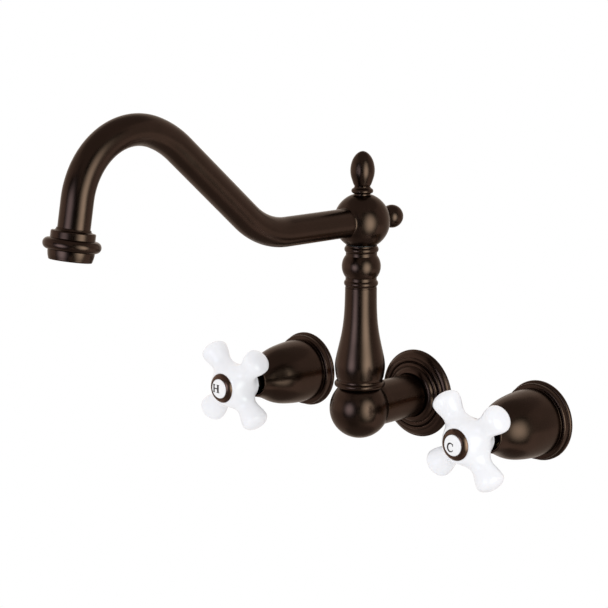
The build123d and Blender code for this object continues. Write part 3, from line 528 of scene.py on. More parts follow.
SLOT_MATERIALS = {
    "bronze_dark": BRONZE,
    "porcelain": PORCELAIN,
    "button_white": BUTTON,
    "brass_cast": CAST,
    "brass_turned": TURNED,
    "copper_pipe": COPPER,
    "steel_plate": ZINC,
    "steel_bright": STEEL,
    "rubber_black": RUBBER,
    "disc_ceramic": CERAMIC,
    "nylon": NYLON,
    "aerator_plastic": SLEEVE,
}
for subpart in frame["record"]["subparts"]:
    data = nodes[subpart["node"]].data
    data.materials.clear()
    data.materials.append(SLOT_MATERIALS[subpart["material_slot"]])


def bronze_piece(name, mesh, place, body, node, sharp=SHARP):
    """A bronze piece that takes the place of its node."""
    solid_object(name, mesh, place, BRONZE, body, node, "bronze_dark", sharp)


# Bells

BELL_CURVE = [(21.6, 6.2), (21.75, 13.0), (20.9, 24.0), (18.0, 36.5), (13.5, 46.0), (11.3, 53.0)]
BELL_WALL = 1.8
COLLAR_R = 8.05  # of the threaded collar in the bell
COLLAR_BACK, COLLAR_FRONT = 34.0, 43.0


def bell_mesh():
    """Two-step rim, full belly and rounded nose, hollow behind, with a threaded collar inside."""
    outer = [(25.8, 0), (25.8, 0.7)] + round_over((25.8, 0.7), (24.7, 2.3), 8)
    outer += [(24.5, 2.3), (24.5, 4.9)] + round_over((24.5, 4.9), (23.4, 6.2), 8)
    outer += [BELL_CURVE[0]] + spline(BELL_CURVE, 10)
    outer += arc(BELL_CURVE[-1], (10.45, 53.9), (9.6, 53.0), 8)
    inner_curve = [(r - BELL_WALL, z) for r, z in BELL_CURVE]
    inner_curve[0] = (BELL_CURVE[0][0] - BELL_WALL, 0)
    inner = [q for q in spline(inner_curve, 10) if q[1] < COLLAR_BACK]
    collar = [(9.6, COLLAR_FRONT), (COLLAR_R, COLLAR_FRONT), (COLLAR_R, COLLAR_BACK)]
    back = [(inner_curve[0][0], 0), (22.4, 0), (22.4, 1.8), (24.4, 1.8), (24.4, 0)]
    inside = [(inner[-1][0] - 0.3, COLLAR_BACK)] + inner[::-1]
    return lathe(soften(outer + collar + inside + back, 0.25))


# Cross handles

HUB_BACK, HUB_FRONT = 59.5, 84.2
HUB = [(10.6, HUB_BACK), (13.4, 70.5), (10.4, HUB_FRONT)]
POCKET = 76.0  # floor of the hub's front pocket
ARM_OUT = 72.1
ARM_CURVE = [(0.0, 9.0), (7.9, 9.0), (9.0, 7.9), (14.0, 7.0), (20.0, 7.2), (26.0, 8.75), (29.0, 9.0)]
ARM_BULB = (28.6, 5.3, 9.0)
CROSS_TURN = {"hot": 42.8, "cold": 38.8}
HUB_BLEND = 6.5
BUTTON_R = 6.6
BUTTON_EDGE = 0.3
BUTTON_SEAT = 85.4
BUTTON_FACE = 87.2
BUTTON_CROWN = 0.35


def hub_field(p):
    """Distance to the turned hub, with its two rims a little rounded."""
    curve = np.array([HUB[0]] + spline(HUB, 12, start=(0.3, 1.0), end=(-0.9, 0.8)))
    r = np.hypot(p[:, 0], p[:, 1])
    target = np.interp(p[:, 2], curve[:, 1], curve[:, 0])
    slope = np.interp(p[:, 2], curve[:-1, 1], np.diff(curve[:, 0]) / np.diff(curve[:, 1]))
    side = (r - target) / np.sqrt(1 + slope**2)
    ends = np.maximum(HUB_BACK - p[:, 2], p[:, 2] - HUB_FRONT)
    return -join_fields(-side, -ends, 1.2)


def arm_field(along, across):
    """Distance to one arm, from its length along the axis and its distance from the axis."""
    curve = np.array(ARM_CURVE[1:3] + spline(ARM_CURVE[2:], 10, end=(1, 0)))
    target = np.interp(along, curve[:, 0], curve[:, 1])
    waist = across - target
    centre, reach, radius = ARM_BULB
    x, y = np.maximum(along - centre, 0) / reach, across / radius
    k = np.maximum(np.hypot(x, y), 1e-6)
    steep = np.maximum(np.hypot(x / reach, y / radius), 1e-6)
    bulb = k * (k - 1) / steep
    return np.where(along > centre, bulb, waist)


def cross_field(p):
    """The whole cross: the arms flow into the hub and into each other."""
    q = p - np.array((0, 0, ARM_OUT))
    arms = None
    for axis, sign in ((0, 1), (0, -1), (1, 1), (1, -1)):
        along = sign * q[:, axis]
        across = np.hypot(q[:, 1 - axis], q[:, 2])
        one = np.maximum(arm_field(along, across), -along - 2.0)
        arms = one if arms is None else join_fields(arms, one, 3.0)
    body = join_fields(hub_field(p), arms, HUB_BLEND)
    body = np.maximum(body, HUB_BACK - p[:, 2])
    body = np.maximum(body, p[:, 2] - HUB_FRONT)
    bore = ((0, 0, 50), (0, 0, POCKET), 6.5, 0.3, 0.5)
    return cut_bars(body, p, bore, ((0, 0, POCKET), (0, 0, 95), 6.7, 0.3, 0.5))


def core_mesh():
    """The dark collar behind the hub and the sleeve that carries the cross."""
    outline = [(4.0, 50.5), (7.7, 50.5), (7.7, HUB_BACK), (6.4, HUB_BACK), (6.4, POCKET)]
    outline += [(2.55, POCKET), (2.55, 70.0), (4.0, 70.0)]
    return lathe(soften(outline, 0.3), 96)


def ring_mesh():
    """Bevelled index ring with its skirt."""
    bevel = arc((9.95, 84.6), (8.85, 86.05), (7.0, 87.2), 8)
    outline = [(5.4, POCKET), (6.6, POCKET), (6.6, HUB_FRONT), (9.95, HUB_FRONT), (9.95, 84.6)]
    outline += bevel + [(6.7, 86.9), (6.7, BUTTON_SEAT), (5.4, BUTTON_SEAT)]
    return lathe(soften(outline, 0.18), 96)


def dome_height(r):
    """Height of the button's domed face above its rim."""
    edge = BUTTON_R - BUTTON_EDGE
    sphere = (edge**2 + BUTTON_CROWN**2) / (2 * BUTTON_CROWN)
    return np.sqrt(np.maximum(sphere**2 - np.minimum(r, edge) ** 2, 0)) - (sphere - BUTTON_CROWN)


def button_mesh():
    """White index button with a domed face."""
    radii = [(BUTTON_R - BUTTON_EDGE) * (1 - k / 10) for k in range(11)]
    outline = [(0, BUTTON_SEAT), (BUTTON_R, BUTTON_SEAT), (BUTTON_R, BUTTON_FACE - BUTTON_EDGE)]
    outline += [(r, BUTTON_FACE + float(dome_height(r))) for r in radii]
    return lathe(outline, 96, closed=False)


LETTER_HIGH = 0.06  # above the button's face
LETTER_DEEP = 0.12


def box_field(x, y, left, low, right, high):
    """Distance to an upright rectangle."""
    dx = np.abs(x - (left + right) / 2) - (right - left) / 2
    dy = np.abs(y - (low + high) / 2) - (high - low) / 2
    return np.hypot(np.maximum(dx, 0), np.maximum(dy, 0)) + np.minimum(np.maximum(dx, dy), 0)


def letter_h(x, y):
    """A bold capital with slab serifs."""
    shape = box_field(x, y, -2.2, -0.4, 2.2, 0.4)
    for end in (-1, 1):
        v = end * y
        shape = np.minimum(shape, box_field(x, v, -3.15, 2.35, -0.75, 2.8))
        shape = np.minimum(shape, box_field(x, v, 0.6, 2.35, 3.2, 2.8))
    shape = np.minimum(shape, box_field(x, y, -2.6, -2.8, -1.3, 2.8))
    return np.minimum(shape, box_field(x, y, 1.1, -2.8, 2.75, 2.8))


def letter_c(x, y):
    """A capital whose stroke swells at its back, with a beak at each end."""
    angle = np.arctan2(y / 2.7, x / 2.5)
    gap = radians(38)
    stroke = 0.16 + 0.50 * np.clip((1 - np.cos(angle)) / 2, 0, 1)
    middle = np.hypot(x / (2.5 - 0.5 * stroke), y / (2.75 - 0.35 * stroke))
    band = np.abs(middle - 1) * 2.4 - stroke
    shape = np.where(np.abs(angle) < gap, np.maximum(band, (gap - np.abs(angle)) * 2.4), band)
    top = box_field(x, y, 1.5, 0.9, 2.1, 2.5)
    low = box_field(x, y, 1.65, -1.95, 2.0, -1.3)
    return np.minimum(shape, np.minimum(top, low))


def letter_field(letter, middle):
    """A thin raised print in that shape, which follows the button's dome."""

    def field(p):
        flat = letter(p[:, 0] - middle[0], p[:, 1] - middle[1])
        rise = p[:, 2] - BUTTON_FACE - dome_height(np.hypot(p[:, 0], p[:, 1]))
        return np.maximum(flat, np.maximum(rise - LETTER_HIGH, -LETTER_DEEP - rise))

    return field


LETTERS = {"hot": (letter_h, (-2.4, -0.1)), "cold": (letter_c, (-1.35, -1.4))}


def turned_mesh(mesh, angle):
    """The mesh turned about its own z axis, in degrees."""
    verts, faces = mesh
    c, s = cos(radians(angle)), sin(radians(angle))
    return np.asarray(verts) @ np.array([(c, s, 0), (-s, c, 0), (0, 0, 1)]), faces


bell = bell_mesh()
cross = surface(cross_field, (-37, -37, 58.5), (37, 37, 85.7), 0.55)
for name, side in SIDES.items():
    place = on_wall(side * VALVE_X)
    hand = name + "_handle"
    bronze_piece(name + "_bell_shell", bell, place, "root", name + "_bell")
    glaze, cap = turned_mesh(cross, CROSS_TURN[name]), button_mesh()
    for label, mesh, material, node, slot in (
        ("_cross_glaze", glaze, PORCELAIN, "_porcelain_cross", "porcelain"),
        ("_core_sleeve", core_mesh(), BRONZE, "_handle_core", "bronze_dark"),
        # The ring takes the lighter copy of the bronze, whose extra brightness is painted light.
        ("_ring_bevel", ring_mesh(), RING_BRONZE_PAINTED_LIGHT, "_index_ring", "bronze_dark"),
        ("_button_cap", cap, BUTTON, "_index_button", "button_white"),
    ):
        sharp = SHARP if slot == "bronze_dark" else MOULDED
        solid_object(name + label, mesh, place, material, hand, name + node, slot, sharp)
    low, high = BUTTON_FACE - 0.4, BUTTON_FACE + BUTTON_CROWN + 0.2
    letter = surface(letter_field(*LETTERS[name]), (-6.4, -5.0, low), (3.0, 5.0, high), 0.07)
    solid_object(name + "_index_letter", letter, place, INK, hand, slot="button_white", sharp=MOULDED)


# Spout: flange, arm, elbow, column and neck

ARM_R = 14.2
ELBOW_R = 19.4
COLUMN_SEAT = 14.3
COLUMN_TOP = 79.9
NECK_TOP = 107.4
ELBOW_REACH = sqrt(ELBOW_R**2 - ARM_R**2)  # from the ball's middle to the arm
SPIGOT = 5.5  # length of the arm's spigot in the ball


def flange_mesh():
    """Domed wall flange: a broad band, two rounded ridges and a collar round the arm."""
    rim, bore, groove = 29.5, 14.3, 16.2
    outline = [(bore, 0), (24.0, 0), (24.0, 1.8), (26.0, 1.8), (26.0, 0), (rim, 0), (rim, 0.5)]
    outline += round_over((rim, 0.5), (28.6, 1.6), 6)
    for halfway, end, steps in (
        ((26.9, 3.3), (24.9, 3.9), 10), ((24.6, 3.95), (24.4, 4.25), 3), ((23.1, 5.2), (21.9, 4.1), 12),
        ((21.6, 4.0), (21.4, 4.5), 3), ((20.2, 6.35), (18.9, 6.1), 12), ((18.7, 6.15), (18.55, 6.5), 3),
        ((17.0, 8.1), (bore + 0.6, 8.6), 8),
    ):
        outline += arc(outline[-1], halfway, end, steps)
    outline += [(bore, 8.0), (bore, 5.35), (groove, 5.35), (groove, 3.25), (bore, 3.25)]
    return lathe(soften(outline, 0.15), 144, longest=1.5)


def arm_mesh():
    """Horizontal arm with its threaded back and its spigot."""
    front = COLUMN_OUT - ELBOW_REACH
    outline = [
        (10.55, 1.5), (ARM_R, 1.5), (ARM_R, front), (10.0, front), (10.0, front + SPIGOT),
        (7.9, front + SPIGOT), (7.9, 30.0), (10.55, 30.0),
    ]
    return lathe(soften(outline, 0.15), 128)


def elbow_field(p):
    """Ball with a flat for the arm and a flat for the column."""
    ball = np.linalg.norm(p, axis=1) - ELBOW_R
    ball = cut_field(ball, ELBOW_REACH - p[:, 1], 0.35)
    ball = cut_field(ball, COLUMN_SEAT - p[:, 2], 0.35)
    ball = cut_bars(ball, p, ((0, ELBOW_REACH - SPIGOT, 0), (0, 30, 0), 10.05, 0.3, 0.4))
    level, upright = (bar_field(p, (0, 0, 0), end, 6.4) for end in ((0, 30, 0), (0, 0, 30)))
    ball = cut_field(ball, join_fields(level, upright, 0.5), 0.4)
    return cut_bars(ball, p, ((0, 0, COLUMN_SEAT - 8), (0, 0, 30), 7.65, 0.3, 0.4))


def column_mesh():
    """Vase-shaped column with a bead at its foot and a threaded stud below."""
    vase = [(15.45, 21.5), (16.25, 28.1), (15.2, 35.8), (12.45, 48.4), (10.95, 59.2), (10.32, 73.0)]
    vase.append((10.25, COLUMN_TOP))
    outline = [(5.0, 7.3), (7.6, 7.3), (7.6, COLUMN_SEAT), (14.0, COLUMN_SEAT), (15.0, 14.65)]
    outline += arc((15.0, 14.65), (16.4, 16.5), (15.0, 18.35), 12)
    outline += arc((15.0, 18.35), (14.85, 19.75), (15.35, 20.9), 6) + [vase[0]] + spline(vase, 10)
    outline += [(6.4, COLUMN_TOP), (6.4, 64.0), (5.0, 64.0)]
    return lathe(soften(outline, 0.2), 144, longest=2.5)


def neck_mesh():
    """Bead, bulb and bead."""
    g = 10.05
    outline = [(6.4, COLUMN_TOP), (g, COLUMN_TOP), (g, 80.9)]
    outline += arc((g, 80.9), (11.0, 82.8), (g, 84.7), 10)
    outline += [(g, 86.6)] + arc((g, 86.6), (12.55, 93.7), (g, 100.8), 20)
    outline += [(g, 102.9)] + arc((g, 102.9), (11.0, 104.8), (g, 106.7), 10)
    outline += [(g, NECK_TOP), (6.4, NECK_TOP)]
    return lathe(soften(outline, 0.15), 144, longest=2.0)


middle = on_wall(0)
bronze_piece("flange_dome", flange_mesh(), middle, "root", "spout_flange")
bronze_piece("arm_sleeve", arm_mesh(), middle, "root", "spout_arm")
elbow = surface(elbow_field, (-20.5,) * 3, (20.5, 15.0, 15.5), 0.6)
bronze_piece("elbow_sphere", elbow, ON_COLUMN, "root", "elbow_ball", sharp=MOULDED)
bronze_piece("column_vase", column_mesh(), ON_COLUMN, "root", "column")
bronze_piece("neck_beads", neck_mesh(), ON_COLUMN, "root", "neck")


# Swivelling spout

TUBE_R = 9.25
TUBE_WALL = 1.3
TUBE_UP = 123.0
BALL_R = 18.0
START_ANGLE = 0.6
LEVEL_RUN = 69.4
BENDS = ((55.5, 39.3, 70.8), (63.8, -20.2, 0.0), (43.2, -99.8, 21.6))  # radius, turn, straight run
SOCKET_START = sqrt(BALL_R**2 - TUBE_R**2) - 5.0
SOCKET_FILLET = 1.0
FINIAL_SEAT = 16.9
POST_BORE = 6.35
STUD_HOLE = 3.05
STUD_R = 3.0


def tube_line(step=1.6):
    """Points and directions along the tube's centre line, as (out, up)."""
    way = radians(START_ANGLE)
    p = np.array((COLUMN_OUT + SOCKET_START * cos(way), TUBE_UP + SOCKET_START * sin(way)))
    points, ways = [p.copy()], [way]

    def straight(length):
        nonlocal p
        parts = max(1, ceil(length / step / 2))
        for _ in range(parts):
            p = p + np.array((cos(way), sin(way))) * length / parts
            points.append(p.copy())
            ways.append(way)

    straight(LEVEL_RUN - SOCKET_START)
    for radius, turn, run in BENDS:
        parts = ceil(abs(radians(turn)) * radius / step)
        side = 1 if turn > 0 else -1
        for _ in range(parts):
            small = radians(turn) / parts
            chord = 2 * radius * sin(abs(small) / 2)
            p = p + chord * np.array((cos(way + small / 2), sin(way + small / 2)))
            way += small
            points.append(p.copy())
            ways.append(way)
        if run:
            straight(run)
    return points, ways


def tube_mesh():
    """The bent tube with its wall."""
    points, ways = tube_line()
    segments = 96
    verts = []
    for radius in (TUBE_R, TUBE_R - TUBE_WALL):
        for (out, up), way in zip(points, ways):
            for k in range(segments):
                a = 2 * pi * k / segments
                s = radius * sin(a)
                verts.append((radius * cos(a), -(out - s * sin(way)), up + s * cos(way)))
    n = len(points)
    faces = strip_faces(n, segments) + strip_faces(n, segments, n * segments)
    for i in (0, n - 1):
        faces += strip_faces(2, segments, i * segments, n * segments)
    return verts, faces


FERRULE_LAP = 5.8  # the tube's end lies that deep in the ferrule
CUP_TOP = 12.4
WASHER_TOP = 15.0
AERATOR_LOW = 17.2
CUP_LOW = 18.0


def outlet_place():
    """The frame of the outlet pieces: local Z runs on along the tube, from the top of the ferrule."""
    points, ways = tube_line()
    (out, up), way = points[-1], ways[-1]
    z = Vector((0, -cos(way), sin(way)))
    top = Vector((0, -out, up)) - z * FERRULE_LAP
    x = Vector((1, 0, 0))
    return frame_matrix(top, x, z.cross(x), z)


def ferrule_mesh():
    """Flare, collar and full round bead on the end of the tube."""
    root, crest, bore = 13.1, 16.4, 9.35
    outline = [(bore, 0), (9.75, 0)] + arc((9.75, 0), (10.15, 1.1), (11.8, 1.6), 6)
    outline += round_over((12.6, 2.4), (11.8, 1.6), 5)[::-1]
    outline += [(12.6, 2.4), (12.6, FERRULE_LAP), (root, FERRULE_LAP)]
    outline += arc((root, FERRULE_LAP), (crest, 9.1), (root, CUP_TOP), 18)
    outline += [(11.5, CUP_TOP), (11.5, WASHER_TOP), (9.1, WASHER_TOP), (9.1, 8.6), (7.95, 8.6)]
    outline += [(7.95, FERRULE_LAP), (bore, FERRULE_LAP)]
    return lathe(soften(outline, 0.15), 144)


def cup_mesh():
    """Aerator cup with a rounded lower edge and a lip."""
    low = (12.3, CUP_LOW - 0.8)
    outline = [(11.55, CUP_TOP), (13.15, CUP_TOP)] + arc((13.15, CUP_TOP), (12.85, 15.2), low, 6)
    outline += round_over(low, (11.5, CUP_LOW), 5)
    outline += [(9.2, CUP_LOW), (9.2, AERATOR_LOW), (11.55, AERATOR_LOW)]
    return lathe(soften(outline, 0.15), 144)


def ball_field(p):
    """Swivel ball with its bearing bore, its chamber and a fillet round the tube."""
    way = radians(START_ANGLE)
    run = np.array((0, -cos(way), sin(way)))
    axis = np.array((0, 0, TUBE_UP - BALL_UP))
    ball = np.linalg.norm(p, axis=1) - BALL_R
    sleeve = bar_field(p, axis + run * SOCKET_START, axis + run * (BALL_R + 1.5), TUBE_R - 0.03, 0.1)
    ball = join_fields(ball, sleeve, SOCKET_FILLET)
    ball = cut_field(ball, p[:, 2] - (NECK_TOP + 0.55 - BALL_UP), 0.3)
    ball = cut_field(ball, FINIAL_SEAT - p[:, 2], 0.3)
    return cut_bars(
        ball, p,
        ((0, 0, -20), (0, 0, 4), POST_BORE, 0.3, 0.4),
        ((0, 0, 6.0), (0, 0, 8.9), 8.6, 0.3, 0.5),
        ((0, 0, 0), (0, 0, 7), POST_BORE, 0.3, 0.4),
        (axis, axis + run * 30, TUBE_R - TUBE_WALL, 0.3, 0.4),
        (axis + run * SOCKET_START, axis + run * 40, TUBE_R - 0.6, 0.3, 0.2),
        ((0, 0, 0), (0, 30, 0), STUD_HOLE, 0.3, 0.3),
        ((0, 0, 10.9), (0, 0, 30), STUD_HOLE, 0.3, 0.3),
    )


def finial_mesh():
    """Bead, thin neck and egg on a stud."""
    egg = [(5.0, 22.6), (6.1, 24.8), (7.5, 29.4), (7.79, 32.6), (7.3, 36.6), (5.1, 41.6), (0, 44.8)]
    outline = [(0, 11.9), (STUD_R, 11.9), (STUD_R, FINIAL_SEAT), (5.3, FINIAL_SEAT), (5.3, 17.7)]
    outline += arc((5.9, 17.9), (7.0, 19.4), (6.3, 20.8), 8)
    outline += arc((6.3, 20.8), (5.25, 21.7), (5.0, 22.6), 5)
    curve = spline(egg, 10, start=(0.9, 1), end=(-1, 0))
    outline += curve[:-1] + [(0, 44.8)]
    return lathe(outline, 96, closed=False)


def knob_mesh():
    """Round knob on a short neck, hollowed where it sits on the ball."""
    hollow = BALL_R + 0.05
    seat = [(5.6, sqrt(hollow**2 - 5.6**2)), (5.6, 19.2), (4.2, 19.2), (4.2, 22.69)]
    ball = arc(seat[-1], (7.5, 28.9), (0.0, 36.4), 24)
    under = [(r, sqrt(hollow**2 - r * r)) for r in (STUD_R, 4.0, 5.0)]
    outline = [(0, 5.25), (1.3, 5.25), (1.3, 6.75), (STUD_R, 6.75)] + under + seat + ball[:-1]
    return lathe(outline + [(0, 36.4)], 96, closed=False)


bronze_piece("gooseneck_tube", tube_mesh(), Matrix.Identity(4), "spout", "spout_tube")
at_outlet = outlet_place()
bronze_piece("outlet_ferrule_bead", ferrule_mesh(), at_outlet, "spout", "outlet_ferrule")
bronze_piece("outlet_cup", cup_mesh(), at_outlet, "spout", "aerator_cup")
ball = surface(ball_field, (-19, -21, -19), (19, 19, 18), 0.5)
bronze_piece("swivel_sphere", ball, ON_BALL, "spout", "swivel_ball", sharp=MOULDED)
bronze_piece("finial_egg", finial_mesh(), ON_BALL, "spout", "top_finial")
bronze_piece("knob_ball", knob_mesh(), ON_KNOB, "spout", "rear_knob")


# Rough-in behind the wall

PIPE_Z = -26.0  # the pipes lie that deep in the wall
INLET_Z = -45.0
PIPE_SOCKET = 8.04
BARREL_BORE = 10.55
NIPPLE_BORE = 7.9
SCREW_HOLE = ((0, 0, -70), (0, 0, -52), 2.5, 0.2, 0.4)


def nipple_mesh(segments=72, per_turn=8):
    """A barrel whose thread runs out to the full radius at both ends, with its bore."""
    low, high, outer, pitch, depth = -22, 30, 10.5, 1.8, 0.9
    rows = ceil((high - low) / pitch * per_turn)
    verts = []
    for i in range(rows + 1):
        z = low + (high - low) * i / rows
        fade = min(1.0, (z - low) / pitch, (high - z) / pitch)
        for k in range(segments):
            phase = (z / pitch - k / segments) % 1.0
            r = outer - depth * fade * (1 - abs(2 * phase - 1))
            a = 2 * pi * k / segments
            verts.append((r * cos(a), r * sin(a), z))
    ends = []
    for r, z in ((outer, high), (NIPPLE_BORE, high), (NIPPLE_BORE, low), (outer, low)):
        ends += ring_points(r, z, segments)
    faces = strip_faces(rows + 1, segments) + strip_faces(4, segments, len(verts))
    return verts + ends, faces


def valve_field(side):
    """Cast valve body with soft fillets, its inlet below and its outlet to the middle."""

    def field(p):
        body = bar_field(p, (0, 0, -60), (0, 0, -14), 16.0, 0.8)
        body = join_fields(body, bar_field(p, (0, 0, -20), (0, 0, 12), 13.2, 0.6), 1.2)
        body = join_fields(body, bar_field(p, (0, 0, INLET_Z), (0, -40, INLET_Z), 14.0, 0.8), 3.0)
        body = join_fields(body, bar_field(p, (0, 0, PIPE_Z), (-side * 27, 0, PIPE_Z), 11.0, 0.7), 3.0)
        return cut_bars(
            body, p,
            ((0, -24, INLET_Z), (0, -60, INLET_Z), 9.3, 0.3, 0.6),
            ((0, 0, INLET_Z), (0, -60, INLET_Z), 6.6, 0.3, 0.5),
            ((0, 0, -17), (0, 0, 30), BARREL_BORE, 0.3, 0.5),
            ((0, 0, -36), (0, 0, 0), 9.6, 0.3, 0.5),
            ((-side * 17, 0, PIPE_Z), (-side * 60, 0, PIPE_Z), PIPE_SOCKET, 0.2, 0.5),
            SCREW_HOLE,
        )

    return field


def tee_field(p):
    """Cast tee with a boss to the front and a post to the bracket."""
    tee = bar_field(p, (-24, 0, PIPE_Z), (24, 0, PIPE_Z), 13.0, 0.8)
    tee = join_fields(tee, bar_field(p, (0, 0, PIPE_Z), (0, 0, -9), 15.0, 0.8), 3.0)
    tee = join_fields(tee, bar_field(p, (0, 0, -60), (0, 0, PIPE_Z), 9.0, 0.6), 3.5)
    return cut_bars(
        tee, p,
        ((-13, 0, PIPE_Z), (-50, 0, PIPE_Z), PIPE_SOCKET, 0.2, 0.5),
        ((13, 0, PIPE_Z), (50, 0, PIPE_Z), PIPE_SOCKET, 0.2, 0.5),
        ((-20, 0, PIPE_Z), (20, 0, PIPE_Z), 6.94, 0.2, 0.4),
        ((0, 0, -22), (0, 0, 10), BARREL_BORE, 0.3, 0.5),
        ((0, 0, PIPE_Z), (0, 0, 0), NIPPLE_BORE, 0.3, 0.4),
        SCREW_HOLE,
    )


for name, side in SIDES.items():
    place = on_wall(side * VALVE_X)
    low_x, high_x = min(-17.5, -side * 28.5), max(17.5, -side * 28.5)
    casting = surface(valve_field(side), (low_x, -41.5, -61.5), (high_x, 17.5, 13.5), 0.8)
    node = name + "_valve_body"
    solid_object(name + "_valve_casting", casting, place, CAST, "root", node, "brass_cast", MOULDED)
tee = surface(tee_field, (-25.5, -16.5, -61.5), (25.5, 16.5, -7.5), 0.8)
solid_object("tee_casting", tee, middle, CAST, "root", "spout_tee", "brass_cast", MOULDED)
solid_object("nipple_thread", nipple_mesh(), middle, TURNED, "root", "spout_nipple", "brass_turned", 70)


def solder_mesh():
    """The ring of solder that creeps out of a pipe socket, a little uneven."""
    verts, faces = [], []
    segments, rows = 72, 6
    pipe, thick = 7.94, 0.9
    for k in range(segments):
        a = 2 * pi * k / segments
        swell = 1.0 + 0.18 * sin(3 * a + 0.7) + 0.1 * sin(7 * a)
        for j in range(rows):
            b = pi / 2 * j / (rows - 1)
            r, z = pipe + thick * swell * (1 - sin(b)), thick * swell * (1 - cos(b))
            verts.append((r * cos(a), r * sin(a), z))
    for k in range(segments):
        for j in range(rows - 1):
            a, b = k * rows + j, ((k + 1) % segments) * rows + j
            faces.append((a, b, b + 1, a + 1))
    return verts, faces


for name, side in SIDES.items():
    ends = ((side * (VALVE_X - 27), side * -1), (side * 24, side))
    for label, (x, way) in zip(("valve", "tee"), ends):
        z = Vector((way, 0, 0))
        y = Vector((0, 1, 0))
        place = frame_matrix((x, -PIPE_Z, 0), y.cross(z), y, z)
        solid_object(name + "_solder_" + label, solder_mesh(), place, SOLDER, "root", slot="brass_cast")


def heading(azimuth, elevation):
    """Unit vector from the object. Azimuth 0 is straight out of the wall and 90 is +X."""
    a, e = radians(azimuth), radians(elevation)
    return Vector((sin(a) * cos(e), -cos(a) * cos(e), sin(e)))


# Camera, at the photograph's place

AZIMUTH, ELEVATION, ROLL = 43.469, 11.3, radians(0.453)
FRAME = 608  # pixels
FOCAL = 2014.8  # pixels
ORIGIN_DEPTH = 1350.5  # along the view
ORIGIN_PIXEL = (417.80, 392.83)  # where the frame's origin lies in the picture
camera_data = bpy.data.cameras.new("camera")
camera_data.sensor_width = 36
camera_data.lens = FOCAL / FRAME * camera_data.sensor_width
back = heading(AZIMUTH, ELEVATION)
level = heading(AZIMUTH + 90, 0)
above = back.cross(level)
camera_right = level * cos(ROLL) + above * sin(ROLL)
camera_up = above * cos(ROLL) - level * sin(ROLL)
across = (ORIGIN_PIXEL[0] - FRAME / 2) / FOCAL
down = (ORIGIN_PIXEL[1] - FRAME / 2) / FOCAL
eye = (back - camera_right * across + camera_up * down) * ORIGIN_DEPTH
view = frame_matrix(eye, camera_right, camera_up, back)
bpy.context.scene.camera = placed("camera", camera_data, view)


# Studio: a white wall behind the object, a white floor, soft lamps and grey screens

def stage_piece(name, data, hidden=(), place=None):
    """A piece of the studio that these kinds of rays don't see."""
    piece = placed(name, data, place)
    for key in hidden:
        setattr(piece, "visible_" + key, False)


def flat_piece(name, corners, material, *rest):
    """A flat piece of the studio."""
    data = bpy.data.meshes.new(name)
    data.from_pydata(corners, [], [(0, 1, 2, 3)])
    data.materials.append(material)
    stage_piece(name, data, *rest)


def either_ray(tree, *kinds):
    """One for these kinds of rays and nought for others."""
    path = tree.nodes.new("ShaderNodeLightPath")
    answer = path.outputs[kinds[0]]
    for kind in kinds[1:]:
        larger = tree.nodes.new("ShaderNodeMath")
        larger.operation = "MAXIMUM"
        tree.links.new(answer, larger.inputs[0])
        tree.links.new(path.outputs[kind], larger.inputs[1])
        answer = larger.outputs[0]
    return answer


def mixed_shader(tree, share, first, second):
    mixer = tree.nodes.new("ShaderNodeMixShader")
    for output, socket in zip((share, first, second), mixer.inputs):
        tree.links.new(output, socket)
    return mixer.outputs[0]


def emission(name, colour, strength):
    material = bpy.data.materials.new(name)
    material.use_nodes = True
    tree = material.node_tree
    tree.nodes.clear()
    out = tree.nodes.new("ShaderNodeOutputMaterial")
    light = tree.nodes.new("ShaderNodeEmission")
    light.inputs["Color"].default_value = (*colour, 1)
    light.inputs["Strength"].default_value = strength
    tree.links.new(light.outputs[0], out.inputs[0])
    return material, tree, out, light


# The finished wall hides what lies inside it from the front, and is see-through from behind.
wall_material, tree, out, light = emission("wall_white", (1, 1, 1), 1.0)
clear = tree.nodes.new("ShaderNodeBsdfTransparent").outputs[0]
behind = tree.nodes.new("ShaderNodeNewGeometry").outputs["Backfacing"]
tree.links.new(mixed_shader(tree, behind, light.outputs[0], clear), out.inputs[0])
WALL_Y = 0.0003
FLOOR_Z = -0.62
STAGE = 4  # metres from the middle to the edge of the wall and the floor
corners = [(-STAGE, -STAGE), (STAGE, -STAGE), (STAGE, STAGE), (-STAGE, STAGE)]
wall = [(x, WALL_Y, z) for x, z in corners]
flat_piece("wall", wall, wall_material, ("diffuse", "glossy", "transmission", "shadow"))

floor_material = bpy.data.materials.new("floor_pale")
floor_material.use_nodes = True
tree = floor_material.node_tree
matt = tree.nodes["Principled BSDF"]
matt.inputs["Base Color"].default_value = (1.0, 1.0, 1.0, 1)
matt.inputs["Roughness"].default_value = 0.8
white = tree.nodes.new("ShaderNodeEmission").outputs[0]
mirrored = either_ray(tree, "Is Glossy Ray", "Is Transmission Ray")
shown = mixed_shader(tree, mirrored, matt.outputs[0], white)
tree.links.new(shown, tree.nodes["Material Output"].inputs[0])
flat_piece("floor", [(x, y, FLOOR_Z) for x, y in corners], floor_material)


LOOK_AT = Vector((0.0, -COLUMN_OUT * MM, 0.065))


def facing(azimuth, elevation, distance):
    """A frame at that distance from the column whose local Z looks at it."""
    away = heading(azimuth, elevation)
    side = Vector((0, 0, 1)).cross(away).normalized()
    m = frame_matrix((0, 0, 0), side, away.cross(side), away)
    m.translation = LOOK_AT + away * distance
    return m


def soft_lamp(name, azimuth, elevation, distance, size, strength, colour):
    """A large soft lamp for the pale surfaces. A white card facing it gets its strength."""
    lamp = bpy.data.lights.new(name, "AREA")
    lamp.shape = "SQUARE"
    lamp.size = size
    lamp.energy = strength * pi * pi * distance**2
    lamp.color = colour
    piece = placed(name, lamp, facing(azimuth, elevation, distance))
    piece.visible_camera = False
    piece.visible_glossy = False


ONLY_REFLECTED = ("camera", "diffuse", "transmission", "shadow")


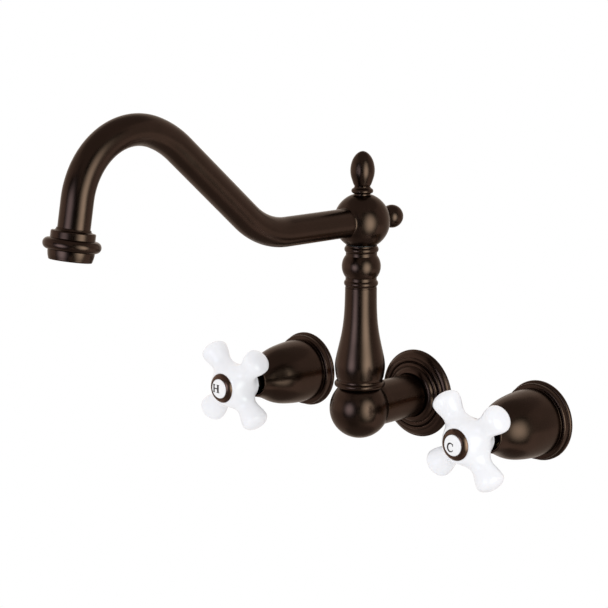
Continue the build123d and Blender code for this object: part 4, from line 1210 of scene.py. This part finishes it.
def soft_box(name, azimuth, elevation, distance, width, height, radiance, colour):
    """A glowing panel, brightest in its middle, that only reflections see."""
    material, tree, _, light = emission(name, colour, radiance)
    where = tree.nodes.new("ShaderNodeTexCoord").outputs["Object"]
    fall = tree.nodes.new("ShaderNodeTexGradient")
    fall.gradient_type = "SPHERICAL"
    ease = tree.nodes.new("ShaderNodeValToRGB")
    ease.color_ramp.interpolation = "EASE"
    power = tree.nodes.new("ShaderNodeMath")
    power.operation = "MULTIPLY"
    power.inputs[1].default_value = radiance
    tree.links.new(where, fall.inputs[0])
    tree.links.new(fall.outputs["Fac"], ease.inputs[0])
    tree.links.new(ease.outputs[0], power.inputs[0])
    tree.links.new(power.outputs[0], light.inputs["Strength"])
    place = facing(azimuth, elevation, distance) @ Matrix.Diagonal((width / 2, height / 2, 1, 1))
    corners = [(-1, -1, 0), (1, -1, 0), (1, 1, 0), (-1, 1, 0)]
    flat_piece(name, corners, material, ONLY_REFLECTED, place)


soft_lamp("key_soft", 76, 25, 1.5, 1.2, 0.10, (1.0, 0.98, 0.95))
soft_lamp("fill_soft", 3, 25, 1.5, 1.2, 0.07, (0.94, 0.96, 1.0))
soft_box("key_warm", 76, 0, 0.70, 0.88, 1.45, 5.5, (0.90, 1.0, 0.93))
soft_box("fill_cool", 2.5, 1, 0.85, 0.78, 0.95, 4.1, (0.72, 0.80, 1.0))

# Screens that only reflections see: white behind the object and black between the lamps
TONE_STEPS = 10
SCREEN_COLOUR = (1.0, 0.90, 0.84)
AROUND = (0, 20, 92, 110, 136, 165, 225, 290, 320, 345, 360)  # degrees
LEVEL_TONE = (0.15, 0.0, 0.0, 0.35, 0.48, 0.75, 1.0, 0.85, 0.75, 0.4, 0.15)
FLOOR_TONE = (0.20, 0.20, 0.70, 0.80, 0.70, 0.60, 0.75, 0.65, 0.50, 0.30, 0.20)
UPPER_TONE = (0.25, 0.25, 0.30, 0.40, 0.50, 0.65, 0.85, 0.70, 0.60, 0.35, 0.25)
TOP_TONE = 0.30
SCREEN_STEP = 10  # degrees
SCREEN_RINGS = ((0.4, -0.61), (1.6, -0.61), (2.6, -0.45), (2.6, 0.75), (1.9, 1.9), (0.5, 2.6))


def screen_tone(azimuth, row):
    """How bright the panel at that azimuth is. Row 2 is level with the object."""
    if row == 4:
        return TOP_TONE
    return np.interp(azimuth, AROUND, (FLOOR_TONE, FLOOR_TONE, LEVEL_TONE, UPPER_TONE)[row])


screens = bmesh.new()
rings = []
for r, z in SCREEN_RINGS:
    around = [heading(a, 0) * r + Vector((0, 0, z)) for a in range(0, 360, SCREEN_STEP)]
    rings.append([screens.verts.new(place) for place in around])
for row, (low_ring, high_ring) in enumerate(zip(rings, rings[1:])):
    for k in range(len(low_ring)):
        j = (k + 1) % len(low_ring)
        panel = screens.faces.new((low_ring[k], low_ring[j], high_ring[j], high_ring[k]))
        panel.material_index = round(TONE_STEPS * screen_tone((k + 0.5) * SCREEN_STEP, row))
for ring in (rings[0], rings[-1]):
    screens.faces.new(ring).material_index = round(TONE_STEPS * TOP_TONE)
data = bpy.data.meshes.new("studio_screens")
screens.to_mesh(data)
screens.free()
for k in range(TONE_STEPS + 1):
    data.materials.append(emission("screen_%d" % k, SCREEN_COLOUR, k / TONE_STEPS)[0])
stage_piece("studio_screens", data, ONLY_REFLECTED)

# World: white where the camera or a reflection meets it, softer as ambient light

AMBIENT = 0.96
world = bpy.data.worlds.new("studio")
bpy.context.scene.world = world
world.use_nodes = True
tree = world.node_tree
tree.nodes.clear()
out = tree.nodes.new("ShaderNodeOutputWorld")
shade = tree.nodes.new("ShaderNodeBackground")
level = tree.nodes.new("ShaderNodeMix")
level.data_type = "RGBA"
level.inputs[6].default_value = (AMBIENT, AMBIENT, AMBIENT * 1.02, 1)
level.inputs[7].default_value = (1, 1, 1, 1)
seen = either_ray(tree, "Is Camera Ray", "Is Glossy Ray", "Is Transmission Ray")
tree.links.new(seen, level.inputs[0])
tree.links.new(level.outputs[2], shade.inputs["Color"])
tree.links.new(shade.outputs[0], out.inputs["Surface"])

bpy.context.scene.view_settings.view_transform = "Standard"
